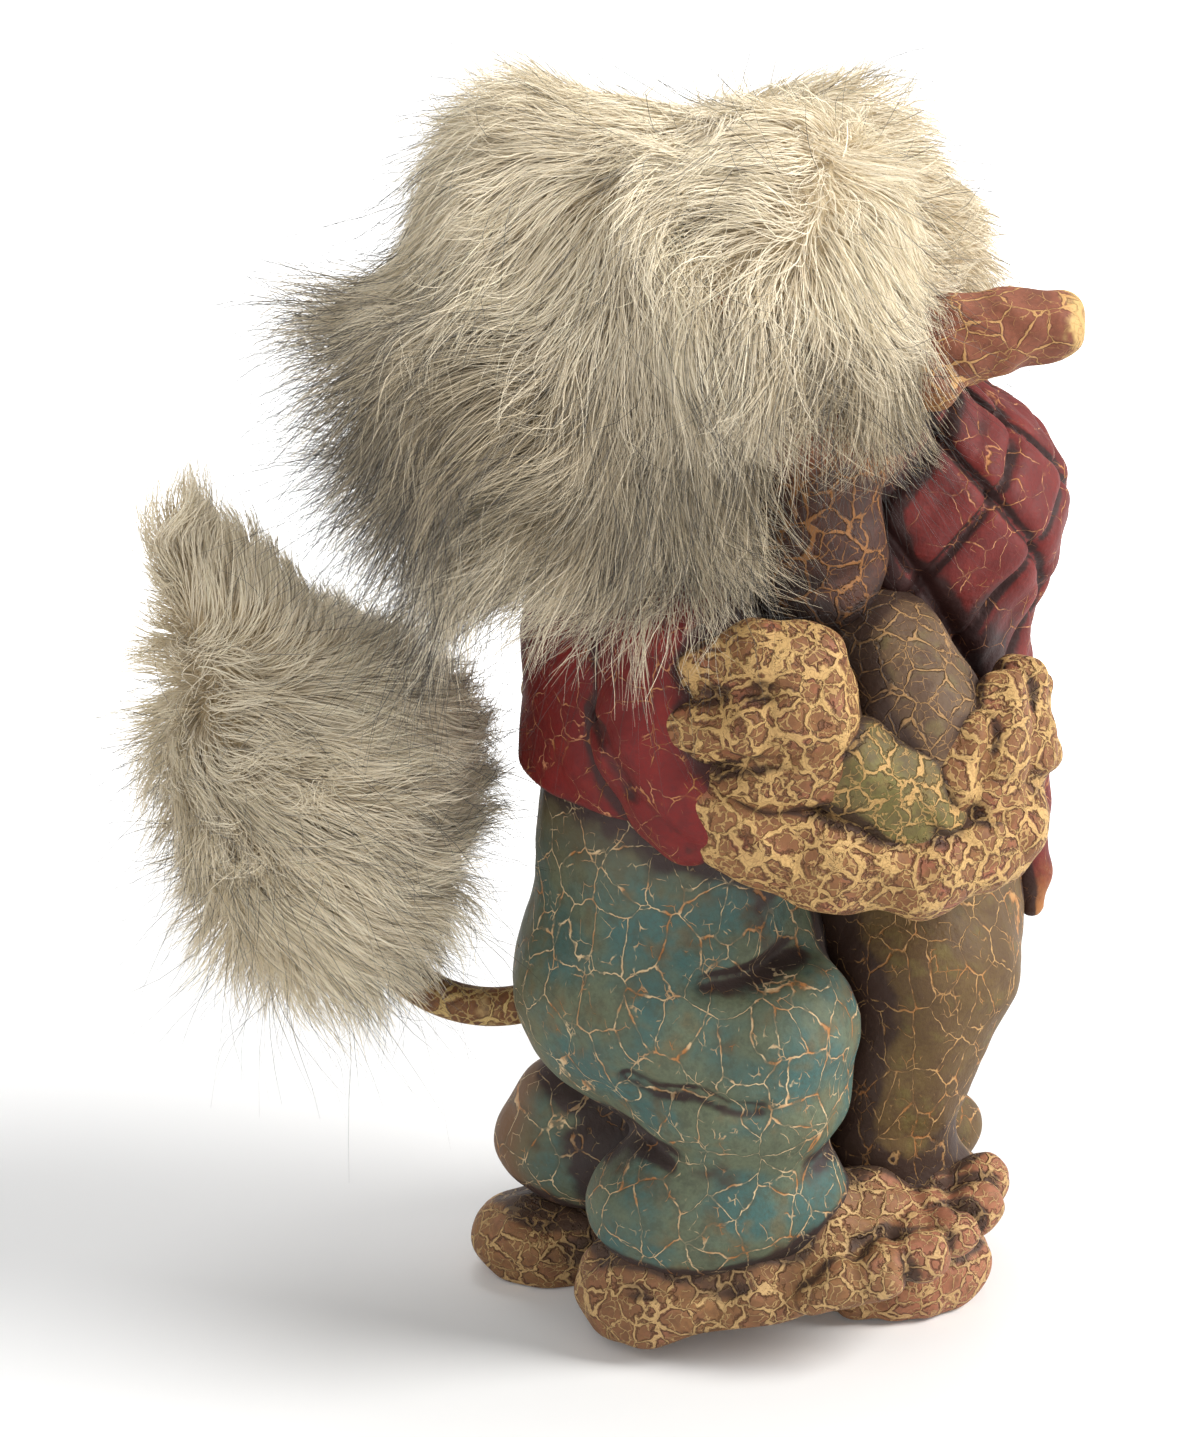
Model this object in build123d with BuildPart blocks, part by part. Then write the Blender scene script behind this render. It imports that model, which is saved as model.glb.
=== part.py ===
from build123d import *
import os
from collections import namedtuple
from functools import partial
from math import cos, radians, sin, tan

# The couple on the ground, +X the way the blue troll faces
couple_shift = 32.0  # middle of the couple, forward of the middle of the whole footprint
spacing_along = 38.0  # between the two body axes, face to face
spacing_across = 16.0  # each figure stands this much aside, so that they hug cheek to cheek
seam_gap = 0.25  # between pieces that lie against each other

# Heights above the ground, shared by both figures
cuff_height = 12.0
waist_height = 90.0
shoulder_height = 150.0
head_height = 166.0  # middle of the head
nose_height = 165.0

# Bodies and limbs
blue_depth = 52.0
olive_depth = 40.0
body_width = 54.0
leg_spacing = 26.0
leg_width = 27.0
sleeve_radius = 10.5
forearm_radius = 8.0
finger_radius = 5.8

# Feet
heel_radius = 10.5
ball_radius = 12.5
raised_thickness = 15.0
foot_taper = 9.0  # degrees
foot_pitch = 14.0  # degrees, of the right feet, which stand on the other figure's left foot
long_reach = 36.0  # heel centre to ball centre of the right feet
blue_left_reach = 25.0
olive_left_reach = 8.0
toe_count = 5
big_toe_radius = 5.4
small_toe_radius = 3.9

# Heads
head_depth = 42.0
head_width = 31.0
head_tall = 52.0
neck_radius = 12.5
blue_head_forward = 13.0
olive_head_forward = 20.0
head_aside = 8.0
nose_length = 30.0
nose_root_radius = 7.8
nose_tip_radius = 4.7
nose_rise = 5.0  # degrees
eye_radius = 3.4
eye_spacing = 15.0

# Furs
wig_depth = 90.0
wig_width = 52.0
wig_bottom = 105.0
wig_top = 205.0
tuft_depth = 62.0
tuft_height = 94.0
tuft_bottom = 50.5
tuft_beyond = 14.0  # tuft middle behind the bend of the tail

# Tail
tail_radius = 3.2
wire_radius = 0.8
tail_height = 53.5
tail_bend_height = 58.5
tail_length = 20.0
tail_sag = 0.6
core_length = 62.0
core_tip_radius = 1.6
socket_depth = 3.0  # the root ball's centre lies this deep in the seat
running_gap = 0.35
mouth_angle = 33.0  # degrees, half the opening round the stem, past the swing to each side
mouth_length = 18.0

# Profiles of the bodies: height as a share of the waist height, radius as a share of the depth
blue_hips_shares = ((0.42, 0.30), (0.50, 0.42), (0.64, 0.50), (0.78, 0.49), (0.90, 0.465), (1.0, 0.455))
olive_hips_shares = ((0.42, 0.30), (0.50, 0.41), (0.64, 0.50), (0.78, 0.49), (0.90, 0.48), (1.0, 0.47))
# Profiles of the jackets: height between waist and shoulders, radius as a share of the depth
blue_chest_shares = ((0.0, 0.47), (0.25, 0.46), (0.55, 0.46), (0.75, 0.40), (0.90, 0.29), (1.0, 0.12))
olive_chest_shares = (
    (0.0, 0.485),
    (0.22, 0.48),
    (0.48, 0.56),
    (0.72, 0.625),
    (0.92, 0.57),
    (1.02, 0.40),
    (1.07, 0.12),
)
# Joints of the legs from the calf round the shin and knee to the hip: forward, height and radius,
# as shares of the blue depth, of the waist height and of the leg width
blue_right_leg_shares = ((0.00, 0.25, 0.49), (0.30, 0.25, 0.44), (0.29, 0.42, 0.52), (0.02, 0.62, 0.53))
blue_left_leg_shares = ((-0.26, 0.25, 0.49), (0.03, 0.24, 0.46), (0.00, 0.42, 0.54), (-0.04, 0.62, 0.53))
olive_right_leg_shares = ((-0.08, 0.21, 0.44), (0.10, 0.24, 0.42), (0.06, 0.42, 0.46), (0.0, 0.62, 0.54))
olive_left_leg_shares = ((-0.13, 0.21, 0.44), (0.04, 0.24, 0.42), (0.03, 0.40, 0.44), (-0.06, 0.62, 0.56))
# Middles of the right and left heels, forward as a share of the blue depth
blue_heel_shares = (-0.09, -0.40)
olive_heel_shares = (-0.09, -0.10)
# Joints of the head from the back of the skull to the jaw: forward, height and radius, as shares
# of the head's depth, height and width
skull_shares = ((-0.13, 0.10, 0.50), (0.13, 0.02, 0.50), (0.20, -0.22, 0.37), (0.16, -0.30, 0.33))
# The neck's two ends: forward as a share of the head's way forward, height below the shoulders or
# below the head's middle as a share of the neck radius or of the head's height, radius as a share
neck_shares = ((0.5, 1.2, 1.0), (1.0, 0.25, 0.9))
# Points along the nose before its tip and the radius there, as shares of its length and of its
# root's radius
nose_shares = ((0.0, 1.0), (0.55, 0.74))
# Root of the nose and middle of the eyes, forward as shares of the head's depth, and the height of
# the eyes above the nose as a share of its root's radius
nose_root_share = 0.36
eye_forward_share = 0.42
eye_rise_share = 1.1
# Openings of the fur in front of the eyes and of the chin: where each starts, forward and height as
# shares of the head's depth and height, and its radius as a share of the head's width
face_shares = ((0.22, 0.05, 0.37), (0.16, -0.28, 0.33))
face_reach_share = 1.3
# Hanging tip of the quilted jacket: forward, height and radius, as shares of the olive depth, of
# the waist height and of the olive depth
jacket_tip_shares = ((-0.44, 1.03, 0.15), (-0.51, 0.86, 0.10), (-0.545, 0.72, 0.055))
# Locks of the furs, as chains of joints: forward of the head's middle, height between bottom and
# top, and radius, as shares of the wig's depth, of its height and of its width
blue_wig_shares = (
    (
        (0.01, 0.75, 0.48),
        (-0.42, 0.73, 0.50),
        (-0.444, 0.50, 0.48),
        (-0.41, 0.25, 0.29),
        (-0.39, 0.07, 0.135),
    ),
    ((0.01, 0.75, 0.48), (0.067, 0.45, 0.385), (-0.02, 0.23, 0.17), (-0.41, 0.25, 0.29)),
    ((-0.444, 0.50, 0.48), (0.067, 0.45, 0.385)),
)
olive_wig_shares = (
    ((-0.03, 0.77, 0.405), (0.045, 0.73, 0.405), (0.01, 0.53, 0.35), (0.08, 0.33, 0.23)),
)
# Joints of the tuft: behind its middle, height and radius, as shares of its depth and height
tuft_shares = ((-0.08, 0.13, 0.21), (0.02, 0.42, 0.48), (0.10, 0.66, 0.35), (0.37, 0.97, 0.06))
# Joints of the arms: forward, outward and height, as shares of the blue depth, of the body width
# and of the shoulder height, then the radius as a share of the sleeve or forearm radius
right_sleeve_shares = ((-0.03, 0.34, 0.850, 0.96), (0.00, 0.46, 0.700, 1.02), (0.10, 0.50, 0.640, 0.84))
right_forearm_shares = (
    (0.10, 0.50, 0.640, 1.06),
    (0.31, 0.55, 0.605, 0.98),
    (0.60, 0.54, 0.562, 0.86),
    (0.87, 0.42, 0.572, 0.95),
)
left_sleeve_shares = ((0.00, 0.44, 0.865, 0.98), (0.01, 0.62, 0.690, 1.02), (0.03, 0.72, 0.625, 0.84))
left_forearm_shares = ((0.03, 0.72, 0.625, 1.10), (0.14, 0.80, 0.655, 1.05), (0.26, 0.85, 0.700, 1.0))
# Fingers: their two ends, each forward, outward and height as for the arms
right_finger_shares = (
    ((0.93, 0.40, 0.590), (1.02, 0.37, 0.715)),
    ((0.97, 0.30, 0.585), (1.08, 0.24, 0.720)),
    ((0.98, 0.19, 0.585), (1.10, 0.11, 0.705)),
)
left_finger_shares = (
    ((0.28, 0.87, 0.770), (0.62, 0.82, 0.775)),
    ((0.30, 0.88, 0.718), (0.68, 0.84, 0.715)),
    ((0.32, 0.86, 0.665), (0.64, 0.83, 0.660)),
)
knuckle_share = 1.12  # of the finger radius
limb_share = 0.97  # the lengths of a limb, of the radius of its rounder joints

figure_fields = "name jacket facing depth head_forward hips chest right_leg left_leg heels left_reach wig"
Figure = namedtuple("Figure", figure_fields)
blue = Figure(
    name="blue_troll",
    jacket="blue_troll_jacket",
    facing=1,
    depth=blue_depth,
    head_forward=blue_head_forward,
    hips=blue_hips_shares,
    chest=blue_chest_shares,
    right_leg=blue_right_leg_shares,
    left_leg=blue_left_leg_shares,
    heels=blue_heel_shares,
    left_reach=blue_left_reach,
    wig=blue_wig_shares,
)
olive = Figure(
    name="olive_troll",
    jacket="olive_troll_quilted_jacket",
    facing=-1,
    depth=olive_depth,
    head_forward=olive_head_forward,
    hips=olive_hips_shares,
    chest=olive_chest_shares,
    right_leg=olive_right_leg_shares,
    left_leg=olive_left_leg_shares,
    heels=olive_heel_shares,
    left_reach=olive_left_reach,
    wig=olive_wig_shares,
)
right = -1
left = 1
on_start = (Align.CENTER, Align.CENTER, Align.MIN)


def place(figure, forward, aside, height):
    """A point given from a figure's own axis: the way it faces, to its left, and up."""
    return Vector(
        couple_shift - figure.facing * (spacing_along / 2 - forward),
        -figure.facing * (spacing_across / 2 - aside),
        height,
    )


def turned(figure, profile, spare):
    """A solid of revolution about the figure's axis, from rows of height and radius."""
    with BuildPart() as solid:
        with BuildSketch(Plane(place(figure, 0, 0, 0), x_dir=(1, 0, 0), z_dir=(0, -1, 0))):
            with BuildLine():
                low = profile[0][0] - spare
                high = profile[-1][0] + spare
                side = [(radius + spare, height) for height, radius in profile]
                bottom_edge = ((0, low), (side[0][0], low))
                top_edge = ((side[-1][0], high), (0, high))
                Polyline(*bottom_edge, *side[1:-1], *top_edge, close=True)
            make_face()
        revolve(axis=Axis(place(figure, 0, 0, 0), (0, 0, 1)))
    return solid.part


def limb(joints, radii, spare):
    """A tapering limb, round at every joint."""
    lengths = []
    for start, end, start_radius, end_radius in zip(joints, joints[1:], radii, radii[1:]):
        along = end - start
        bottom, top = [limb_share * radius + spare for radius in (start_radius, end_radius)]
        with BuildPart(Plane(start, z_dir=along)) as length:
            if bottom == top:
                Cylinder(bottom, along.length, align=on_start)
            else:
                Cone(bottom, top, along.length, align=on_start)
        lengths.append(length.part)
    directions = [end - start for start, end in zip(joints, joints[1:])]
    with BuildPart() as solid:
        for point, radius, direction in zip(joints, radii, [directions[0], *directions]):
            with Locations(Plane(point, z_dir=direction)):
                Sphere(radius + spare)
        add(lengths)
    return solid.part


def joined(*solids):
    """Solids that are cast as one."""
    with BuildPart() as piece:
        add(solids)
    return piece.part


def above(solid, height):
    """The part of a solid above a level plane."""
    with BuildPart() as piece:
        add(solid)
        split(bisect_by=Plane.XY.offset(height), keep=Keep.TOP)
    return piece.part


def trousers(figure, spare):
    """Hips and two legs bent at the knee, with level cuffs."""
    profile = [(height * waist_height, radius * figure.depth) for height, radius in figure.hips]
    legs = []
    for side, leg_shares in ((right, figure.right_leg), (left, figure.left_leg)):
        joints = [
            place(figure, forward * blue_depth, side * leg_spacing / 2, height * waist_height)
            for forward, height, _ in leg_shares
        ]
        whole = limb(joints, [radius * leg_width for *_, radius in leg_shares], spare)
        legs.append(above(whole, cuff_height - spare))
    return joined(turned(figure, profile, spare), *legs)


def foot(figure, side, spare):
    """A bare foot with five toes; the right one is pitched up."""
    pitch = radians(foot_pitch) if side == right else 0
    thickness = raised_thickness if side == right else cuff_height
    reach = long_reach if side == right else figure.left_reach
    heel_forward = figure.heels[0 if side == right else 1] * blue_depth
    sole = Plane(
        place(figure, heel_forward - heel_radius, side * leg_spacing / 2, 0),
        x_dir=(figure.facing * cos(pitch), 0, sin(pitch)),
        z_dir=(-figure.facing * sin(pitch), 0, cos(pitch)),
    )
    with BuildPart() as solid:
        with BuildSketch(sole.offset(-spare)):
            with Locations((heel_radius, 0)):
                Circle(heel_radius + spare)
            with Locations((heel_radius + reach, 0)):
                Circle(ball_radius + spare)
            make_hull()
        extrude(amount=thickness + 2 * spare, taper=foot_taper)
        for toe in range(toe_count):
            outer_share = toe / (toe_count - 1)
            radius = big_toe_radius - outer_share * (big_toe_radius - small_toe_radius)
            ahead = heel_radius + reach + ball_radius * (1 - outer_share)
            aside = side * (2 * outer_share - 1) * (ball_radius - radius / 2)
            with Locations(sole.from_local_coords(Vector(ahead, aside, radius))):
                Sphere(radius + spare)
    return above(solid.part, -spare)


def jacket(figure, spare):
    """The body of a jacket; the quilted one ends in a hanging tip at the back."""
    tall = shoulder_height - waist_height
    profile = [(waist_height + height * tall, radius * figure.depth) for height, radius in figure.chest]
    body = turned(figure, profile, spare)
    if figure is blue:
        return body
    joints = []
    for forward, height, _ in jacket_tip_shares:
        joints.append(place(olive, forward * olive_depth, 0, height * waist_height))
    return joined(body, limb(joints, [radius * olive_depth for *_, radius in jacket_tip_shares], spare))


def head_point(figure, forward_share, height_share):
    """A point in the middle plane of a head, from shares of its depth and height."""
    forward = figure.head_forward + forward_share * head_depth
    return place(figure, forward, -head_aside, head_height + height_share * head_tall)


def head(figure, spare):
    """Skull, jaw and the neck that rises out of the jacket."""
    joints = [head_point(figure, forward, height) for forward, height, _ in skull_shares]
    skull = limb(joints, [radius * head_width for *_, radius in skull_shares], spare)
    (foot_forward, foot_drop, foot_radius), (top_forward, top_drop, top_radius) = neck_shares
    foot_height = shoulder_height - foot_drop * neck_radius
    top_height = head_height - top_drop * head_tall
    neck_foot = place(figure, foot_forward * figure.head_forward, 0, foot_height)
    neck_top = place(figure, top_forward * figure.head_forward, -head_aside, top_height)
    neck = limb([neck_foot, neck_top], [foot_radius * neck_radius, top_radius * neck_radius], spare)
    return joined(skull, neck)


def nose(figure, spare):
    """A long nose, thick at its root, waisted and round at its tip."""
    root = place(figure, figure.head_forward + head_depth * nose_root_share, -head_aside, nose_height)
    lift = tan(radians(nose_rise))
    tip = Vector(figure.facing, 0, lift) * nose_length
    joints = [root + tip * along for along, _ in nose_shares]
    radii = [radius * nose_root_radius for _, radius in nose_shares]
    return limb([*joints, root + tip], [*radii, nose_tip_radius], spare)


def eyes(figure, spare):
    """A pair of glass beads, either side of the nose's root."""
    forward = figure.head_forward + head_depth * eye_forward_share
    height = nose_height + nose_root_radius * eye_rise_share
    with BuildPart() as solid:
        for side in (right, left):
            with Locations(place(figure, forward, -head_aside + side * eye_spacing / 2, height)):
                Sphere(eye_radius + spare)
    return solid.part


def arm_point(figure, side, forward, outward, height):
    """A joint of an arm from its shares."""
    return place(figure, forward * blue_depth, side * outward * body_width, height * shoulder_height)


def arm_piece(figure, side, radius, joint_shares, spare):
    """One length of an arm."""
    joints = [arm_point(figure, side, *row[:3]) for row in joint_shares]
    return limb(joints, [row[3] * radius for row in joint_shares], spare)


def hand(figure, side, finger_shares, spare):
    """Three thick fingers laid side by side."""
    fingers = []
    for knuckle, tip in finger_shares:
        ends = [arm_point(figure, side, *knuckle), arm_point(figure, side, *tip)]
        fingers.append(limb(ends, [finger_radius * knuckle_share, finger_radius], spare))
    return joined(*fingers)


def wig(figure, spare):
    """The fur over a head, parted from the other one along the plane between the two heads."""
    locks = []
    for chain in figure.wig:
        joints = []
        for forward, height, _ in chain:
            ahead = figure.head_forward + forward * wig_depth
            joints.append(place(figure, ahead, -head_aside, wig_bottom + height * (wig_top - wig_bottom)))
        locks.append(limb(joints, [radius * wig_width for *_, radius in chain], spare))
    middle = head_point(figure, 0, 0)
    other_middle = head_point(olive if figure is blue else blue, 0, 0)
    parting = Plane((middle + other_middle) / 2, z_dir=middle - other_middle)
    with BuildPart() as fur:
        add(locks)
        split(bisect_by=parting.offset(seam_gap / 2 - spare), keep=Keep.TOP)
    return fur.part


def face_opening(figure, spare):
    """The room that the fur leaves in front of the eyes and the chin."""
    openings = []
    for forward, height, radius in face_shares:
        ends = [head_point(figure, forward, height), head_point(figure, forward + face_reach_share, height)]
        openings.append(limb(ends, [radius * head_width] * 2, spare))
    return joined(*openings)


# The whole shape of every piece, before it is cut back to its neighbours
shapes = {}
for figure in (blue, olive):
    shapes[f"{figure.name}_trousers"] = partial(trousers, figure)
    shapes[f"{figure.name}_right_foot"] = partial(foot, figure, right)
    shapes[f"{figure.name}_left_foot"] = partial(foot, figure, left)
    shapes[figure.jacket] = partial(jacket, figure)
    shapes[f"{figure.name}_head"] = partial(head, figure)
    shapes[f"{figure.name}_eyes"] = partial(eyes, figure)
    shapes[f"{figure.name}_nose"] = partial(nose, figure)
    shapes[f"{figure.name}_wig"] = partial(wig, figure)
    shapes[f"{figure.name}_face"] = partial(face_opening, figure)
    arm_tables = (
        (right, "right", right_sleeve_shares, right_forearm_shares, right_finger_shares),
        (left, "left", left_sleeve_shares, left_forearm_shares, left_finger_shares),
    )
    for side, side_name, sleeve_shares, forearm_shares, finger_shares in arm_tables:
        arm = f"{figure.name}_{side_name}"
        shapes[f"{arm}_sleeve"] = partial(arm_piece, figure, side, sleeve_radius, sleeve_shares)
        shapes[f"{arm}_forearm"] = partial(arm_piece, figure, side, forearm_radius, forearm_shares)
        shapes[f"{arm}_hand"] = partial(hand, figure, side, finger_shares)

# What each piece is cut back to; the right arms pass low round the other figure and the left
# arms lie over them
bodies = ("blue_troll_trousers", "olive_troll_trousers", blue.jacket, olive.jacket)
neighbours = {
    "blue_troll_trousers": ("olive_troll_right_foot",),
    "olive_troll_trousers": ("blue_troll_trousers", "blue_troll_right_foot"),
    blue.jacket: (),
    olive.jacket: (blue.jacket, "blue_troll_trousers", "olive_troll_trousers"),
    "olive_troll_left_foot": ("blue_troll_right_foot", "blue_troll_left_foot", "olive_troll_right_foot"),
    "blue_troll_left_foot": ("olive_troll_right_foot", "blue_troll_right_foot"),
}
for figure, other in ((blue, olive), (olive, blue)):
    name = figure.name
    right_arm = (f"{name}_right_sleeve", f"{name}_right_forearm", f"{name}_right_hand")
    left_arm = (f"{name}_left_sleeve", f"{name}_left_forearm", f"{name}_left_hand")
    other_right_arm = tuple(f"{other.name}_right_{piece}" for piece in ("sleeve", "forearm", "hand"))
    other_left_arm = tuple(f"{other.name}_left_{piece}" for piece in ("sleeve", "forearm", "hand"))
    neighbours[f"{name}_right_foot"] = (f"{name}_trousers",)
    neighbours[f"{name}_eyes"] = ()
    neighbours[f"{name}_head"] = (blue.jacket, olive.jacket, f"{name}_eyes")
    neighbours[f"{name}_nose"] = (f"{name}_head", f"{name}_eyes")
    for order, piece in enumerate(right_arm):
        neighbours[piece] = (*bodies, *right_arm[:order])
    for order, piece in enumerate(left_arm):
        neighbours[piece] = (*bodies, *other_right_arm, *left_arm[:order])
    neighbours[f"{name}_wig"] = (
        blue.jacket,
        olive.jacket,
        f"{name}_head",
        f"{other.name}_head",
        f"{name}_eyes",
        f"{name}_face",
        *right_arm,
        *left_arm[:1],
        *other_left_arm,
        *other_right_arm[:1],
    )

grown = {}


def near(solid, other):
    """Whether the boxes round two solids meet."""
    box = solid.bounding_box()
    other_box = other.bounding_box()
    spans = (*zip(box.min, other_box.max), *zip(other_box.min, box.max))
    return all(low <= high for low, high in spans)


def seated(name):
    """A piece cut back to a seam from the neighbours that it lies against."""
    solid = shapes[name](0)
    touching = []
    for neighbour in neighbours[name]:
        if neighbour not in grown:
            grown[neighbour] = shapes[neighbour](seam_gap)
        if near(solid, grown[neighbour]):
            touching.append(grown[neighbour])
    if not touching:
        return solid
    with BuildPart() as piece:
        add(solid)
        add(touching, mode=Mode.SUBTRACT)
    return piece.part.solids().sort_by(SortBy.VOLUME)[-1]


pieces = {name: seated(name) for name in neighbours}

# Tail: a wire-cored rubber stem in a socket in the seat, and the tuft that bends on its end
seat_back = place(blue, -blue_depth / 2, 0, tail_height)
root = seat_back + Vector(socket_depth, 0, 0)
bend = Vector(root.X - tail_length, root.Y, tail_bend_height)
sagging = Vector((root.X + bend.X) / 2, root.Y, tail_height - tail_sag / 2)
with BuildPart() as tail_wire:
    with BuildLine() as stem_line:
        ThreePointArc(root, sagging, bend)
    with BuildSketch(Plane(stem_line.line @ 0, z_dir=stem_line.line % 0)):
        Circle(wire_radius)
    sweep(path=stem_line.line)
with BuildPart() as tail_stem:
    with BuildSketch(Plane(stem_line.line @ 0, z_dir=stem_line.line % 0)):
        Circle(tail_radius)
    sweep(path=stem_line.line)
    with Locations(root, bend):
        Sphere(tail_radius)
    add(tail_wire.part, mode=Mode.SUBTRACT)
pieces["tail_wire"] = tail_wire.part
pieces["tail_stem"] = tail_stem.part.solids().sort_by(SortBy.VOLUME)[-1]


def mouth(centre, direction):
    """A ball's room and the cone that opens from it to let the stem lean."""
    socket_radius = (tail_radius + running_gap) / limb_share
    far = centre + direction.normalized() * mouth_length
    return limb([centre, far], [socket_radius, socket_radius + mouth_length * tan(radians(mouth_angle))], 0)


with BuildPart() as seat:
    add(pieces["blue_troll_trousers"])
    add(mouth(root, stem_line.line % 0), mode=Mode.SUBTRACT)
pieces["blue_troll_trousers"] = seat.part.solids().sort_by(SortBy.VOLUME)[-1]

# Core of the tuft, a tapering rubber rod with a cup that takes the round end of the stem
tuft_joints = []
for behind, height, _ in tuft_shares:
    tuft_joints.append(
        Vector(bend.X - tuft_beyond - behind * tuft_depth, bend.Y, tuft_bottom + height * tuft_height)
    )
core_start = bend + (tuft_joints[1] - bend).normalized() * tail_radius
core_end = tuft_joints[1] + (tuft_joints[2] - tuft_joints[1]).normalized() * (core_length / 2)
core_joints = [core_start, tuft_joints[1], core_end]
core_radii = [tail_radius, (tail_radius + core_tip_radius) / 2, core_tip_radius]
stem_mouth = mouth(bend, -(stem_line.line % 1))
with BuildPart() as tuft_core:
    add(limb(core_joints, core_radii, 0))
    add(stem_mouth, mode=Mode.SUBTRACT)
pieces["tuft_core"] = tuft_core.part.solids().sort_by(SortBy.VOLUME)[-1]
with BuildPart() as tuft:
    add(limb(tuft_joints, [radius * tuft_depth for *_, radius in tuft_shares], 0))
    add(stem_mouth, mode=Mode.SUBTRACT)
    add(limb(core_joints, core_radii, seam_gap), mode=Mode.SUBTRACT)
pieces["tail_tuft"] = tuft.part.solids().sort_by(SortBy.VOLUME)[-1]

os.makedirs("parts", exist_ok=True)
for name, solid in pieces.items():
    solid.label = name
    export_step(solid, f"parts/{name}.step")

everything = Compound(children=[Compound([solid]) for solid in pieces.values()]).bounding_box()
print("extents", everything.min, everything.max)
print("root ball", root, "bend", bend, "stem end direction", stem_line.line % 1)
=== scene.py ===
import itertools
import math
import bpy
import numpy as np
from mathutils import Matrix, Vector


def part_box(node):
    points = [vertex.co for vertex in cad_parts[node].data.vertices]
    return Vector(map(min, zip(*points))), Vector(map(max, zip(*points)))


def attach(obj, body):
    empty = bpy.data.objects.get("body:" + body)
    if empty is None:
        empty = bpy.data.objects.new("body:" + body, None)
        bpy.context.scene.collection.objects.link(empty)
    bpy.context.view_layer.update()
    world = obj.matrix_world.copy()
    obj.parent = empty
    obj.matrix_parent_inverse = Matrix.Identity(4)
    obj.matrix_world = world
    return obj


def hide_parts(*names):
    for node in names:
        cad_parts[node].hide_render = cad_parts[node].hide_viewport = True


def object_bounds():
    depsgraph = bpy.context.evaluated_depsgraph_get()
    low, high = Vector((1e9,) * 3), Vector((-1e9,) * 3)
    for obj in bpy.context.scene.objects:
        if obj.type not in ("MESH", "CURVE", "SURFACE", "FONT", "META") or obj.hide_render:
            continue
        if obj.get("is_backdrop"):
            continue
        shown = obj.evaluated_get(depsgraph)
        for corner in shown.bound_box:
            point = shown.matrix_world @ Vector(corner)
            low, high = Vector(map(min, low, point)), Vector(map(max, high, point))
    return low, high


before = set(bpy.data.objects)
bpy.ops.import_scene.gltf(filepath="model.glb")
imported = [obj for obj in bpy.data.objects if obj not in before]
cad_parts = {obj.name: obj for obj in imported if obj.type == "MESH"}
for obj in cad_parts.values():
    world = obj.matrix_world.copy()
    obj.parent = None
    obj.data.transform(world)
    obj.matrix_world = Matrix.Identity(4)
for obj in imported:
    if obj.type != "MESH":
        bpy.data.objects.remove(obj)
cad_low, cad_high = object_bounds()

import openvdb
from mathutils import Vector, kdtree

# Sculpting is in millimetres, in the couple's own coordinates: x = 0 midway between the two figures
MM = 0.001
# The figures' upright axes lie 19 mm before and behind that place, and 8 mm to either side
HALF_SPACING, ACROSS = 19.0, 8.0
jacket_low, jacket_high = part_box("blue_troll_jacket")
SHIFT = ((jacket_low + jacket_high) / 2 / MM).x + HALF_SPACING
ROOT_BODY, TUFT_BODY = "root", "tuft"


# Distance fields

LIMB_BLEND = 2.0


def smooth_min(a, b, k):
    h = np.maximum(k - np.abs(a - b), 0) / k
    return np.minimum(a, b) - h * h * k / 4


def smooth_max(a, b, k):
    return -smooth_min(-a, -b, k)


def union(fields, k):
    total = fields[0]
    for field in fields[1:]:
        total = smooth_min(total, field, k)
    return total


def capsule(p, start, end):
    """A tapering limb between two joints of x, y, z and radius."""
    a, b = np.array(start[:3]), np.array(end[:3])
    ab = b - a
    t = sum((p[i] - a[i]) * ab[i] for i in range(3)) / float(ab @ ab)
    t = np.clip(t, 0, 1)
    gap = np.sqrt(sum((p[i] - a[i] - t * ab[i]) ** 2 for i in range(3)))
    return gap - (start[3] + t * (end[3] - start[3]))


def chain(p, *joints):
    return union([capsule(p, start, end) for start, end in zip(joints, joints[1:])], LIMB_BLEND)


def ball(p, centre, radii, tilt=0.0):
    """An ellipsoid, tilted about the across axis by some degrees, nose up."""
    x, y, z = (p[i] - centre[i] for i in range(3))
    c, s = math.cos(math.radians(tilt)), math.sin(math.radians(tilt))
    u, v, w = (x * c + z * s) / radii[0], y / radii[1], (z * c - x * s) / radii[2]
    size = np.sqrt(u * u + v * v + w * w) + 1e-6
    slope = np.sqrt((u / radii[0]) ** 2 + (v / radii[1]) ** 2 + (w / radii[2]) ** 2) + 1e-6
    return size * (size - 1) / slope


def pressed(p, points, width, depth):
    """How deep a soft crease along a polyline of points is at each place."""
    gap = np.inf
    for a, b in zip(points, points[1:]):
        gap = np.minimum(gap, capsule(p, (*a, 0), (*b, 0)))
    return depth * np.exp(-((gap / width) ** 2))


def groove(field, p, points, width, depth):
    return field + pressed(p, points, width, depth)


def fold(field, p, points, width, depth):
    """Presses a fold into the near side, along points of x and z seen from there."""
    near = np.clip((-18 - p[1]) / 6, 0, 1)
    return field + pressed((p[0], 0 * p[1], p[2]), [(x, 0, z) for x, z in points], width, depth * near)


def turned(p):
    """The same place on the far figure: half a turn about the upright axis."""
    return (-p[0], -p[1], p[2])


def lumps(p, size, height, seed):
    """Soft hand-made unevenness, a sum of waves in chance directions."""
    own = np.random.default_rng(seed)
    total = 0.0
    for _ in range(7):
        direction = own.normal(size=3)
        direction *= 2 * math.pi / (size * own.uniform(0.7, 1.5) * np.linalg.norm(direction))
        along = p[0] * direction[0] + p[1] * direction[1] + p[2] * direction[2]
        total = total + np.sin(along + own.uniform(0, 6.28))
    return total * (height / 3.0)


# The forms of the couple

CUFF_BOTTOM = 12.3


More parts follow.
